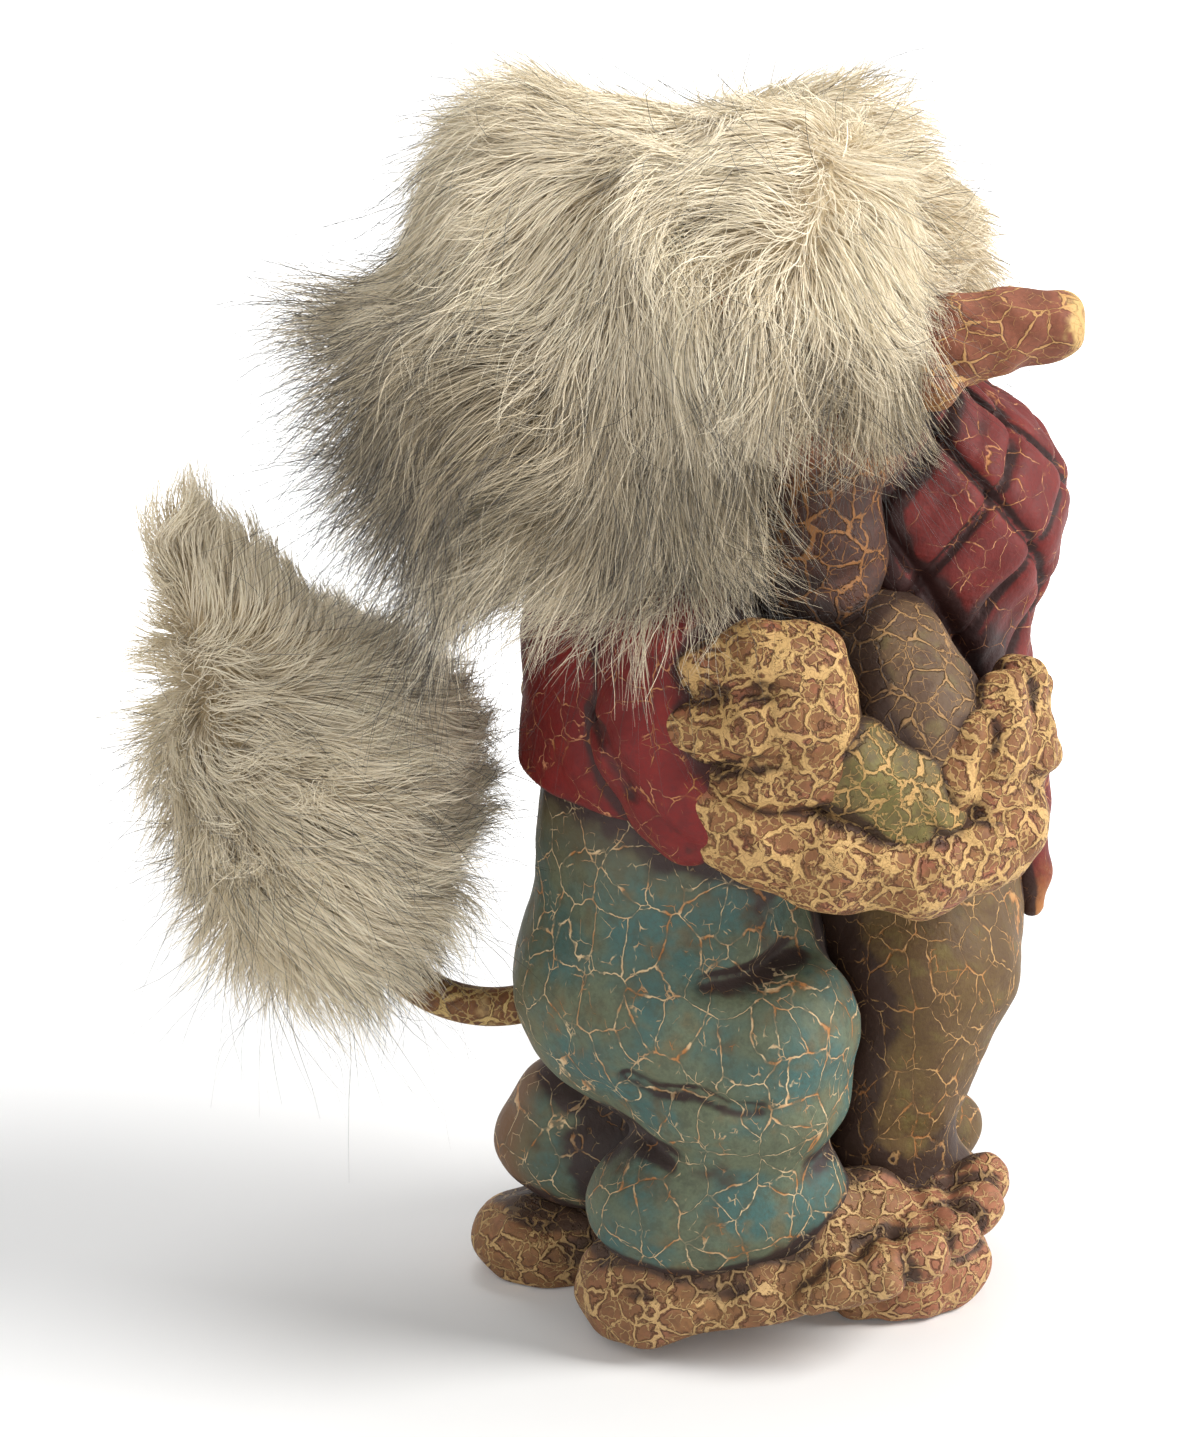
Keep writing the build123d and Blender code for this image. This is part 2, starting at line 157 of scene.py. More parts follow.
def blue_trousers(p):
    waist = chain(p, (-18.5, -8, 98, 20.8), (-18.5, -8, 80, 21.6), (-18.2, -8, 60, 24.0))
    seat = ball(p, (-18.8, -8, 58), (24.2, 26.5, 19))
    near_leg = union([
        chain(p, (-19, -20, 57, 15.5), (-8, -21.5, 50, 15.5)),
        ball(p, (-8.0, -21.5, 44), (17.6, 15.4, 14.5)),
        ball(p, (-11.3, -21, 24.6), (21.6, 14.6, 13.0), 4),
    ], 6.5)
    thigh = ball(p, (-3.5, -21.5, 56.0), (15.0, 16.5, 13.0), -12)
    far_leg = union([
        chain(p, (-20, 5, 56, 15.0), (-19, 5, 38, 14.5), (-24, 5, 26, 13.6)),
        ball(p, (-31, 5, 24), (16.5, 13.5, 12.0)),
        ball(p, (-34, 2, 33), (9.5, 10.0, 6.5)),
    ], 4.0)
    body = union([waist, seat], 8.0)
    whole = union([union([body, near_leg], 3.5), thigh], 2.2)
    whole = union([whole, far_leg], 4.0)
    whole = fold(whole, p, [(-14, 66.2), (-7, 66.6), (1, 68.6), (8, 71.5)], 1.9, 2.3)
    whole = fold(whole, p, [(-25.5, 51.4), (-21, 49.0), (-15, 49.4), (-10, 47.6), (-5, 47.2)], 1.6, 1.6)
    whole = fold(whole, p, [(-34, 41), (-27, 38.2), (-19, 36.0)], 2.2, 1.7)
    whole = fold(whole, p, [(4, 34.0), (12, 36.5)], 2.0, 1.0)
    whole = fold(whole, p, [(-34, 66), (-26, 60), (-16, 57)], 2.6, 0.5)
    whole = groove(whole, p, [(-46, 0, 38), (-48, 6, 36), (-40, 14, 36)], 2.0, 1.2)
    whole = groove(whole, p, [(-30, -33, 92), (-18, -34, 84), (-6, -34, 78)], 3.0, 1.0)
    whole = whole + lumps(p, 17, 0.35, 3) + lumps(p, 6, 0.1, 4)
    return smooth_max(whole, CUFF_BOTTOM - p[2], 3.0)


def olive_trousers(p):
    body = union([chain(p, (19, 8, 95, 19.0), (19, 8, 80, 19.6)), ball(p, (19.5, 8, 63), (20.0, 22, 19))], 8.0)
    near_leg = union([
        chain(p, (22, -4, 58, 16.0), (18.0, -5, 42, 12.8), (16.5, -5, 30, 11.2), (18.5, -5, 22, 11.8)),
        ball(p, (22.5, -5, 18.5), (13.0, 12.5, 7.5)),
    ], 4.0)
    far_leg = union([
        chain(p, (19, 20, 58, 15.0), (15, 21, 42, 13.5), (13.5, 21, 28, 12.0)),
        ball(p, (19, 21, 19), (16, 12.5, 9.0)),
    ], 4.0)
    whole = union([union([body, near_leg], 4.0), far_leg], 4.0)
    whole = groove(whole, p, [(30, -17, 29), (20, -19, 27.5), (10, -17, 29)], 1.8, 1.0)
    whole = whole + lumps(p, 16, 0.35, 5) + lumps(p, 6, 0.1, 6)
    return smooth_max(whole, CUFF_BOTTOM - p[2], 3.0)


def blue_jacket(p):
    trunk = chain(
        p, (-17, -9, 142, 12.0), (-18, -8, 132, 18.5), (-19, -8, 116, 23.5), (-19, -8, 98, 23.6),
        (-19, -8, 88, 24.4),
    )
    trunk = fold(trunk, p, [(-30, 110), (-25, 100), (-16, 92)], 1.6, 1.8)
    trunk = fold(trunk, p, [(-40, 106), (-37, 99), (-33, 93)], 2.2, 0.7)
    whole = trunk + lumps(p, 15, 0.4, 7)
    hem = 92.0 - 0.12 * (p[0] + 19)
    return smooth_max(whole, hem - p[2], 1.6)


def quilt(p):
    """Grooves of the quilted jacket, crossing diagonals round its axis, with softer stitches between."""
    radius = 24.0
    angle = np.arctan2(p[1] - ACROSS, p[0] - HALF_SPACING)
    round_way = angle * radius
    total = 0.0
    for sign, lean, turns in ((1, 0.80, 7), (-1, 1.05, 8)):
        pitch = 2 * math.pi * radius / turns
        wave = (p[2] * lean + sign * round_way + 2.2 * np.sin(p[2] * 0.09 + angle)) / pitch
        gap = np.abs(wave - np.round(wave)) * pitch / math.hypot(1, lean)
        total = total + 1.5 * np.exp(-((gap / 0.95) ** 2)) - 0.5 * np.exp(-(((gap - 3.6) / 2.6) ** 2))
    return total


def olive_jacket(p):
    upper = ball(p, (18.5, 8, 134), (26.0, 24.5, 21.0))
    lower = chain(p, (19, 8, 124, 20.5), (19, 8, 104, 19.6), (19, 8, 90, 19.8))
    tip = chain(p, (35.0, 8, 96, 8.0), (38.5, 8, 82, 5.0), (40.6, 8, 70, 3.2), (41.2, 8, 64.5, 2.4))
    collar = chain(p, (12, 3, 150, 13.5), (16, 8, 140, 16.0))
    body = union([upper, lower, collar], 7.0) + quilt(p)
    whole = smooth_min(body, tip, 4.0) + lumps(p, 14, 0.35, 8)
    hem = 88.0 + 0.22 * (p[0] - 40)
    low_cut = np.where(p[0] > 33, 60.0, hem)
    return smooth_max(whole, low_cut - p[2], 1.4)


def head_form(p):
    """A head that faces +x: skull, brow, cheeks, wide mouth, chin and neck."""
    skull = union([
        ball(p, (-8, -16, 169), (19, 16.0, 18.5)),
        ball(p, (2, -16, 158), (12.5, 14.5, 14)),
        ball(p, (5.5, -16, 148.5), (9.5, 9.0, 6.0)),
    ], 7.0)
    brow = chain(p, (9.5, -24, 177, 3.2), (12.5, -16, 176, 3.6), (9.5, -8, 177, 3.2))
    cheeks = union([ball(p, (8, y, 158), (6.5, 5.5, 6.5)) for y in (-24.5, -7.5)], 2.0)
    face = union([skull, brow, cheeks], 3.0)
    for y in (-23.5, -8.5):
        face = smooth_max(face, -ball(p, (15.0, y, 171.5), (4.5, 4.2, 3.8)), 2.0)
    mouth = [(7.5, -27, 156), (14, -22, 151.5), (16.5, -16, 150.5), (14, -10, 151.5), (7.5, -5, 156)]
    face = groove(face, p, mouth, 1.3, 1.8)
    lip = chain(p, (11.5, -21, 149.0, 1.7), (14.0, -16, 148.0, 2.1), (11.5, -11, 149.0, 1.7))
    ears = [
        chain(p, (-6, y, 165, 4.0), (-9, y + 3.0 * out, 171, 3.2), (-12, y + 5.0 * out, 178, 1.6))
        for y, out in ((-31.5, -1), (-0.5, 1))
    ]
    neck = chain(p, (-12, -10, 132, 12.0), (2.5, -18, 131.5, 11.5), (3.5, -18, 145, 10.5))
    whole = union([face, lip, neck], 2.5)
    whole = groove(whole, p, [(-6, -29, 137), (5, -30, 138.5), (13, -24, 141)], 1.5, 1.2)
    whole = groove(whole, p, [(-6, -29, 130), (5, -30, 131), (13, -25, 133)], 1.5, 1.2)
    whole = groove(whole, p, [(11, -23, 182), (14, -16, 181.5), (11, -9, 182)], 1.0, 0.6)
    return union([whole, *ears], 1.5) + lumps(p, 9, 0.35, 9)


def nose_form(p):
    line = ((10, 165.4, 8.2), (18, 165.8, 7.4), (26, 167.2, 6.5), (33, 168.6, 6.0), (39.4, 169.3, 5.6))
    bridge = chain(p, *((x, -16, z, radius) for x, z, radius in line))
    nostrils = union([ball(p, (20.5, y, 160.6), (4.6, 3.0, 3.4)) for y in (-20.6, -11.4)], 2)
    whole = smooth_min(bridge, nostrils, 4.0)
    for y in (-19.8, -12.2):
        whole = smooth_max(whole, -ball(p, (22.0, y, 156.4), (1.8, 1.3, 2.2)), 1.0)
    for x in (13.5, 16.5, 20):
        whole = groove(whole, p, [(x, -24, 166), (x + 0.8, -20, 170), (x + 0.4, -12, 171.5)], 0.7, 0.35)
    return whole + lumps(p, 6, 0.3, 10)


def right_sleeve(p):
    sleeve = chain(
        p, (-19, -23, 134, 9.0), (-20, -28, 124, 10.2), (-20.5, -31.5, 108, 10.8), (-16, -34.5, 98.5, 10.2)
    )
    sleeve = fold(sleeve, p, [(-30, 110), (-25, 101), (-16, 93)], 1.4, 1.2)
    return sleeve + lumps(p, 9, 0.4, 11)


def right_forearm(p):
    arm = chain(
        p, (-14, -35.5, 100.0, 8.4), (-7, -37.5, 94.8, 8.4), (5, -38.6, 90.2, 8.3), (19, -36, 88.2, 8.3),
        (28, -30, 89.5, 8.8),
    )
    arm = groove(arm, p, [(-6, -46, 99), (-1, -47, 93), (4, -46, 86)], 1.0, 0.5)
    return arm + lumps(p, 8, 0.45, 12)


def fingers(p, *rows):
    return union([chain(p, *row) for row in rows], 1.0)


def right_hand(p):
    palm = ball(p, (30.5, -26.0, 91), (10.0, 9.5, 9.5))
    digits = fingers(
        p,
        ((28.0, -31.0, 90, 5.8), (30.5, -30.5, 102, 5.5), (32.4, -27.5, 112.0, 4.9)),
        ((32.0, -24.5, 91, 5.8), (35.6, -23.5, 102, 5.3), (35.6, -20.5, 112.5, 4.8)),
        ((33.0, -17.0, 91, 5.2), (37.4, -16.0, 100, 4.8), (37.0, -13.5, 108.5, 4.3)),
        ((22.5, -33.5, 92, 4.6), (24.2, -34.4, 101, 4.4), (26.6, -33.4, 108.0, 3.9)),
    )
    hand = smooth_min(palm, digits, 3.0)
    hand = groove(hand, p, [(30, -36, 101), (36, -34, 102), (41, -28, 102)], 0.9, 0.5)
    return hand + lumps(p, 7, 0.4, 13)


def left_sleeve(p):
    sleeve = chain(
        p, (13, -12, 118, 9.0), (14.5, -21, 115.5, 10.8), (18.0, -26.5, 109.5, 11.0), (21.0, -29, 101, 9.8)
    )
    return sleeve + lumps(p, 9, 0.35, 14)


def left_forearm(p):
    cuff = union([
        ball(p, (16.6, -33.4, 97.0), (10.8, 9.8, 10.4), -30),
        chain(p, (12.0, -35.5, 101.0, 8.6), (8.0, -37.0, 105.0, 8.2)),
    ], 3.5)
    cuff = groove(cuff, p, [(21, -41, 107), (18, -44, 101), (23, -41, 93)], 1.3, 0.8)
    return cuff + lumps(p, 8, 0.35, 15)


def left_hand(p):
    back = ball(p, (1.0, -36.8, 112.5), (9.0, 9.2, 13.5), 8)
    digits = fingers(
        p,
        ((1.5, -38.5, 122.0, 5.4), (-6.0, -39.2, 123.0, 5.4), (-14.0, -36.6, 120.4, 5.0)),
        ((2.5, -40.0, 113.4, 5.7), (-7.0, -40.8, 113.0, 5.7), (-17.0, -38.4, 110.6, 5.2)),
        ((3.5, -39.0, 104.8, 5.3), (-4.0, -40.0, 103.4, 5.3), (-12.5, -38.4, 101.4, 4.9)),
    )
    hand = smooth_min(back, digits, 4.5)
    hand = groove(hand, p, [(-19, -43, 107.6), (-8, -45.5, 108.4), (-1, -46, 108.2)], 1.2, 1.2)
    hand = groove(hand, p, [(-5, -47, 124), (-4.2, -47, 117), (-5, -46, 110)], 0.9, 0.5)
    return hand + lumps(p, 7, 0.45, 16)


def toes(p, tips, pitch):
    """Five toes, each a knuckle and a rounded tip with a nail, from the places and radii of their tips."""
    found = []
    for x, y, z, radius in tips:
        knuckle = ball(p, (x - 6.4, y + 0.4, z + 0.6 - 1.6 * pitch), (3.6, radius * 0.92, radius * 0.98))
        shaft = chain(p, (x - 11, y, z - 3 * pitch - 0.5, radius * 0.8), (x - 1, y, z - 0.2, radius * 0.78))
        tip = ball(p, (x, y, z), (radius * 1.08, radius * 0.98, radius * 1.04))
        nail_radii = (radius * 0.5, radius * 0.6, radius * 0.3)
        nail = ball(p, (x + radius * 0.55, y, z + radius * 0.66), nail_radii, -30)
        found.append(smooth_min(union([knuckle, shaft, tip], 1.4), nail, 0.5))
    return union(found, 0.5)


def right_foot(p):
    """The foot that is pitched up on to the other figure's left one."""
    heel = ball(p, (-22.4, -21.2, 9.6), (12.0, 11.0, 10.4), 10)
    middle = chain(
        p, (-18, -21, 9.6, 9.6), (-4, -21.5, 13.4, 9.8), (8, -21.5, 16.6, 9.2), (16, -19.5, 18.2, 7.6)
    )
    edge = chain(p, (-20, -28, 6.4, 4.8), (-4, -30.5, 9.6, 4.6), (8, -30.0, 12.6, 4.8))
    instep = chain(p, (-6, -20, 18, 8.5), (4, -19.5, 20.5, 7.4), (12, -18.5, 22.5, 5.8))
    tips = [
        (31.6, -12.6, 23.0, 4.9), (30.4, -19.6, 22.2, 4.3), (26.8, -25.8, 20.6, 4.2), (21.6, -30.8, 18.6, 4.1),
        (15.0, -34.2, 16.2, 4.0),
    ]
    foot = union([heel, middle, edge, instep], 6.0)
    foot = smooth_min(foot, toes(p, tips, 1.0), 1.2)
    foot = groove(foot, p, [(-31, -28, 13), (-20, -33, 12.4), (-8, -34, 15)], 1.2, 0.5)
    sole = (p[2] - 0.249 * (p[0] + 34)) * 0.97
    foot = smooth_max(foot, -sole, 2.4)
    foot = foot + lumps(p, 8, 0.5, 17)
    return smooth_max(foot, -p[2], 0.5)


def flat_foot(p, parts, tips, top, seed):
    foot = smooth_min(union(parts, 5.0), toes(p, tips, 0.0), 2.5)
    foot = smooth_max(foot, p[2] - top, 3.0) + lumps(p, 8, 0.45, seed)
    return smooth_max(foot, -p[2], 0.6)


def left_foot(p):
    """The near figure's other foot, flat on the ground."""
    heel = ball(p, (-40.5, 5, 6.5), (11.0, 11.0, 7.5))
    middle = chain(p, (-38, 5, 6, 8.5), (-14, 5, 5.5, 9.5))
    front = ball(p, (-13, 5, 6.0), (12.5, 12.5, 6.5))
    tips = [
        (-1.4, -4.0, 5.0, 4.9), (-2.6, 1.6, 4.6, 4.6), (-4.4, 6.6, 4.4, 4.3), (-7.4, 11.2, 4.2, 4.1),
        (-11.6, 15.0, 4.0, 3.8),
    ]
    return flat_foot(p, [heel, middle, front], tips, 14.0, 18)


def olive_left_foot(p):
    """The foot under the other figure's raised one, in the near figure's own turned place."""
    heel = ball(p, (-24.0, 5, 6.5), (10.8, 11.6, 7.2))
    middle = ball(p, (-15.5, 5, 6.0), (13.5, 12.8, 6.4))
    tips = [
        (-4.0, -3.6, 4.8, 4.8), (-4.6, 2.0, 4.5, 4.4), (-6.0, 7.0, 4.3, 4.1), (-8.4, 11.2, 4.1, 3.9),
        (-12.0, 14.6, 3.9, 3.7),
    ]
    return flat_foot(p, [heel, middle], tips, 13.5, 19)


def blue_wig_core(p):
    """The felt-backed bulk of the fur, under its loose hairs."""
    crown = chain(
        p, (-2, -17, 184, 15.5), (-36, -17, 186, 16.0), (-44, -17, 170, 16.0), (-43, -17, 156, 12.5),
        (-35, -18, 142, 7.0),
    )
    side = chain(p, (-2, -18, 182, 15.0), (5, -24, 174, 9.5), (7, -27, 170, 5.5))
    curtain = union([
        chain(p, (-40, -24, 168, 13.0), (-12, -26, 172, 12.5), (2, -27, 172, 8.0)),
        chain(p, (-37, -25, 157, 10.0), (-16, -28, 158, 8.0)),
        chain(p, (-34, -25, 146, 7.0), (-24, -28, 146, 5.5)),
    ], 8.0)
    whole = union([crown, side, curtain], 7.0)
    hollow = chain(p, (14, -16, 170, 10.5), (30, -16, 169, 11.5))
    return smooth_max(whole, -hollow, 2.0)


def olive_wig_core(p):
    crown = chain(p, (4, 17, 184, 13.5), (-7, 17, 182, 13.5))
    back = chain(p, (6, 18, 178, 13.0), (4, 19, 160, 10.5), (-2, 20, 144, 7.0))
    side = chain(p, (-8, 24, 176, 11.0), (-14, 28, 160, 7.5), (-12, 29, 148, 5.0))
    back_of_head = smooth_max(ball(p, (9, 17, 170), (21.0, 18.0, 21.0)), -5 - p[0], 3.0)
    whole = union([crown, back, side, back_of_head], 5.0)
    hollow = chain(p, (-14, 16, 170, 10.5), (-30, 16, 169, 11.5))
    return smooth_max(whole, -hollow, 2.0)


def tuft_core(p):
    return chain(
        p, (-72, -8, 70, 8.0), (-73.5, -8, 84, 18.5), (-75.5, -8, 97, 20.0), (-87, -8, 117, 9.0),
        (-96.5, -8, 131, 3.2),
    )


SKIN_VOXEL, CLOTH_VOXEL, FUR_VOXEL = 0.45, 0.55, 1.1
# By node: its form, 1 or for the turned figure -1, the form's box and the cells of its grid
FORMS = {
    "blue_troll_trousers": (blue_trousers, 1, (-52, -40, 10), (18, 24, 100), CLOTH_VOXEL),
    "olive_troll_trousers": (olive_trousers, 1, (-8, -24, 10), (46, 40, 100), CLOTH_VOXEL),
    "blue_troll_jacket": (blue_jacket, 1, (-48, -38, 78), (10, 22, 158), CLOTH_VOXEL),
    "olive_troll_quilted_jacket": (olive_jacket, 1, (-12, -22, 58), (50, 38, 166), CLOTH_VOXEL),
    "blue_troll_head": (head_form, 1, (-34, -44, 118), (24, 12, 192), 0.5),
    "olive_troll_head": (head_form, -1, (-34, -44, 118), (24, 12, 192), 0.5),
    "blue_troll_nose": (nose_form, 1, (-2, -28, 152), (48, -4, 180), SKIN_VOXEL),
    "olive_troll_nose": (nose_form, -1, (-2, -28, 152), (48, -4, 180), SKIN_VOXEL),
}
for who, way in (("blue_troll", 1), ("olive_troll", -1)):
    FORMS[f"{who}_right_sleeve"] = (right_sleeve, way, (-36, -48, 84), (0, -10, 148), CLOTH_VOXEL)
    FORMS[f"{who}_right_forearm"] = (right_forearm, way, (-32, -50, 72), (38, -18, 114), SKIN_VOXEL)
    FORMS[f"{who}_right_hand"] = (right_hand, way, (16, -42, 76), (46, -4, 120), SKIN_VOXEL)
    FORMS[f"{who}_right_foot"] = (right_foot, way, (-38, -42, -2), (40, -4, 34), SKIN_VOXEL)
for who, way in (("olive_troll", 1), ("blue_troll", -1)):
    FORMS[f"{who}_left_sleeve"] = (left_sleeve, way, (4, -44, 90), (34, -2, 146), CLOTH_VOXEL)
    FORMS[f"{who}_left_forearm"] = (left_forearm, way, (-4, -50, 82), (32, -18, 120), SKIN_VOXEL)
    FORMS[f"{who}_left_hand"] = (left_hand, way, (-26, -50, 92), (18, -20, 134), SKIN_VOXEL)
FORMS["blue_troll_left_foot"] = (left_foot, 1, (-56, -12, -2), (10, 24, 18), SKIN_VOXEL)
FORMS["olive_troll_left_foot"] = (olive_left_foot, -1, (-40, -12, -2), (6, 24, 18), SKIN_VOXEL)
FUR_FORMS = {
    "blue_troll_wig": (blue_wig_core, 1, (-68, -46, 110), (24, 4, 206), FUR_VOXEL),
    "olive_troll_wig": (olive_wig_core, 1, (-30, -8, 132), (36, 44, 204), FUR_VOXEL),
    "tail_tuft": (tuft_core, 1, (-104, -34, 50), (-50, 18, 142), FUR_VOXEL),
}


def placed(form, way, low, high):
    """A form and its box, turned to the far figure where its way is -1."""
    if way == 1:
        return form, low, high
    return lambda p: form(turned(p)), (-high[0], -high[1], low[2]), (-low[0], -low[1], high[2])


# One coarse field of everything solid, for dirt and painted shade in the creases and for the lie of the hair
COARSE = 1.25
WORLD_LOW = np.array((-125.0, -60.0, -4.0))
WORLD_HIGH = np.array((60.0, 60.0, 225.0))
world_shape = [int(n) for n in np.ceil((WORLD_HIGH - WORLD_LOW) / COARSE) + 1]
# How far a form counts outside its box, and the distance beyond that, in mm
MARGIN, FAR_OFF = 12.0, 14.0
body_field = np.full(world_shape, FAR_OFF, np.float32)
fur_field = np.full(world_shape, FAR_OFF, np.float32)


def stamp(target, form, low, high):
    first = np.maximum(np.floor((np.array(low) - MARGIN - WORLD_LOW) / COARSE).astype(int), 0)
    last = np.minimum(np.ceil((np.array(high) + MARGIN - WORLD_LOW) / COARSE).astype(int) + 1, world_shape)
    axes = []
    for i in range(3):
        count = np.arange(first[i], last[i], dtype=np.float32)
        axes.append(np.float32(WORLD_LOW[i]) + count * np.float32(COARSE))
    part = target[first[0]:last[0], first[1]:last[1], first[2]:last[2]]
    np.minimum(part, form(np.meshgrid(*axes, indexing="ij")), out=part)


for target, forms in ((body_field, FORMS), (fur_field, FUR_FORMS)):
    for *form, _ in forms.values():
        stamp(target, *placed(*form))


def unit(vectors, least=1e-6):
    return vectors / (np.linalg.norm(vectors, axis=-1, keepdims=True) + least)


class Sampler:
    """Reads a coarse field and its slope between grid points."""

    def __init__(self, field):
        self.grids = [field, *np.gradient(field, COARSE)]

    def __call__(self, points, which=0):
        place = np.clip((points - WORLD_LOW) / COARSE, 0, np.array(world_shape) - 1.001)
        cell = place.astype(int)
        share = place - cell
        total = 0.0
        for corner in itertools.product((0, 1), repeat=3):
            a, b, c = np.where(corner, share, 1 - share).T
            total = total + a * b * c * self.grids[which][tuple((cell + corner).T)]
        return total

    def normal(self, points):
        return unit(np.stack([self(points, i) for i in (1, 2, 3)], 1))


body = Sampler(body_field)
everything = Sampler(np.minimum(body_field, fur_field))


# Meshes

def new_mesh(name, points, faces, body_name, slot, material, *replaced):
    mesh = bpy.data.meshes.new(name)
    mesh.vertices.add(len(points))
    places = (np.asarray(points) + np.array((SHIFT, 0, 0))) * MM
    mesh.vertices.foreach_set("co", places.astype(np.float32).ravel())
    sides = faces.shape[1]
    mesh.loops.add(faces.size)
    mesh.loops.foreach_set("vertex_index", faces.astype(np.int32).ravel())
    mesh.polygons.add(len(faces))
    mesh.polygons.foreach_set("loop_start", np.arange(0, faces.size, sides, dtype=np.int32))
    mesh.polygons.foreach_set("use_smooth", np.ones(len(faces), bool))
    mesh.update(calc_edges=True)
    mesh.validate()
    piece = bpy.data.objects.new(name, mesh)
    bpy.context.scene.collection.objects.link(piece)
    mesh.materials.append(material)
    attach(piece, body_name)
    if replaced:
        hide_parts(*replaced)
    return piece


def attribute(piece, name, values):
    layer = piece.data.attributes.new(name, "FLOAT", "POINT")
    layer.data.foreach_set("value", np.asarray(values, np.float32))


def mesh_of(form, way, low, high, step):
    """Points, four-sided faces and outward normals of a form's surface."""
    form, low, high = placed(form, way, low, high)
    axes = [np.arange(a, b + step, step, dtype=np.float32) for a, b in zip(low, high)]
    field = form(np.meshgrid(*axes, indexing="ij")).astype(np.float32)
    # the grid's outermost cells count as outside, so that every surface is closed
    for axis in range(3):
        np.moveaxis(field, axis, 0)[[0, -1]] = 9
    vdb = openvdb.FloatGrid(1.0)
    vdb.copyFromArray(field)
    vdb.transform = openvdb.createLinearTransform(voxelSize=step)
    points, quads = vdb.convertToQuads(0.0)
    points = points + low
    corners = points[quads]
    crosses = np.cross(corners[:, 2] - corners[:, 0], corners[:, 3] - corners[:, 1])
    normals = np.zeros_like(points)
    for i in range(4):
        np.add.at(normals, quads[:, i], crosses)
    normals = unit(normals, 1e-9)

    def field_at(places):
        cells = ((places - low) / step).round().astype(int)
        return field[tuple(np.clip(cells, 0, np.array(field.shape) - 1).T)]

    # the field grows outwards, which says whether the faces look in or out
    probe = slice(0, len(points), max(1, len(points) // 500))
    if (field_at(points[probe] + normals[probe] * 2 * step) - field_at(points[probe])).mean() < 0:
        quads, normals = quads[:, ::-1], -normals
    return points, quads, normals


def cavity(points, normals):
    """0 in the open, 1 deep in a crease or close to another part; it sets where the paint's dirt and painted
    shade go.
    """
    total = 0.0
    for reach, weight in ((2.5, 0.3), (5.5, 0.35), (10.0, 0.35)):
        total = total + weight * np.clip(1 - body(points + normals * reach) / reach, 0, 1)
    return total


def frizz(points, size, seed):
    """Soft chance vectors that change over a given size."""
    own = np.random.default_rng(seed)
    total = np.zeros_like(points)
    for _ in range(6):
        wave = own.normal(size=3)
        wave *= 2 * math.pi / (size * own.uniform(0.6, 1.6) * np.linalg.norm(wave))
        total += np.sin(points @ wave + own.uniform(0, 6.28))[:, None] * own.normal(size=3)
    return total / 2.5


# Materials

class Nodes:
    """The node tree of a new material or world, with short names for what is used often."""

    def __init__(self, name, kind=bpy.data.materials, shader="Principled BSDF"):
        self.owner = kind.new(name)
        self.owner.use_nodes = True
        self.tree = self.owner.node_tree
        self.shader = self.tree.nodes[shader]

    def add(self, kind, inputs=(), **settings):
        node = self.tree.nodes.new(kind)
        for key, value in settings.items():
            setattr(node, key, value)
        for key, value in dict(inputs).items():
            if isinstance(value, bpy.types.NodeSocket):
                self.tree.links.new(value, node.inputs[key])
            else:
                node.inputs[key].default_value = value
        return node

    def set(self, **values):
        """Sets or links the shader's sockets, named with underscores for spaces."""
        for key, value in values.items():
            socket = self.shader.inputs[key.replace("_", " ")]
            if isinstance(value, bpy.types.NodeSocket):
                self.tree.links.new(value, socket)
            else:
                socket.default_value = value

    def math(self, operation, a, b=0.0):
        return self.add("ShaderNodeMath", {0: a, 1: b}, operation=operation).outputs[0]

    def times(self, first, *others):
        for other in others:
            first = self.math("MULTIPLY", first, other)
        return first

    def plus(self, a, b):
        return self.math("ADD", a, b)

    def minus(self, a, b):
        return self.math("SUBTRACT", a, b)

    def vector(self, operation, *values):
        return self.add("ShaderNodeVectorMath", dict(enumerate(values)), operation=operation).outputs[0]

    def mix(self, share, a, b):
        return self.add("ShaderNodeMix", {0: share, 6: a, 7: b}, data_type="RGBA").outputs[2]

    def ramp(self, value, low, high):
        """0 at low and 1 at high, smoothly."""
        inputs = {0: value, 1: low, 2: high}
        return self.add("ShaderNodeMapRange", inputs, interpolation_type="SMOOTHSTEP").outputs[0]

    def fall(self, value, low, high):
        """1 at low and 0 at high, smoothly."""
        return self.minus(1.0, self.ramp(value, low, high))

    def band(self, value, middle, inner, outer):
        """1 within inner of a middle value, 0 beyond outer."""
        return self.fall(self.math("ABSOLUTE", self.minus(value, middle)), inner, outer)

    def noise(self, place, scale, detail=3.0, roughness=0.55, output="Fac"):
        inputs = {"Vector": place, "Scale": scale, "Detail": detail, "Roughness": roughness}
        return self.add("ShaderNodeTexNoise", inputs).outputs[output]

    def edges(self, place, scale):
        """The distance to the nearest edge of a cell pattern."""
        inputs = {"Vector": place, "Scale": scale}
        return self.add("ShaderNodeTexVoronoi", inputs, feature="DISTANCE_TO_EDGE").outputs["Distance"]

    def on_object(self):
        return self.add("ShaderNodeTexCoord").outputs["Object"]

    def place(self):
        """The place on the object, in mm."""
        return self.vector("MULTIPLY", self.on_object(), (1 / MM,) * 3)

    def bump(self, height, strength):
        inputs = {"Height": height, "Strength": strength, "Distance": MM}
        self.set(Normal=self.add("ShaderNodeBump", inputs).outputs[0])


def rgb(red, green, blue):
    """A colour seen in the photograph, from its 0 to 255 values, as the shader takes it."""
    return tuple(((v / 255 + 0.055) / 1.055) ** 2.4 for v in (red, green, blue)) + (1.0,)


# The valley brown is painted shadow beside the skin's curled crack edges.
VALLEY_SHADE_BROWN, SPLIT_BROWN, AGED_CRACK = rgb(84, 54, 34), rgb(126, 84, 48), rgb(176, 118, 66)


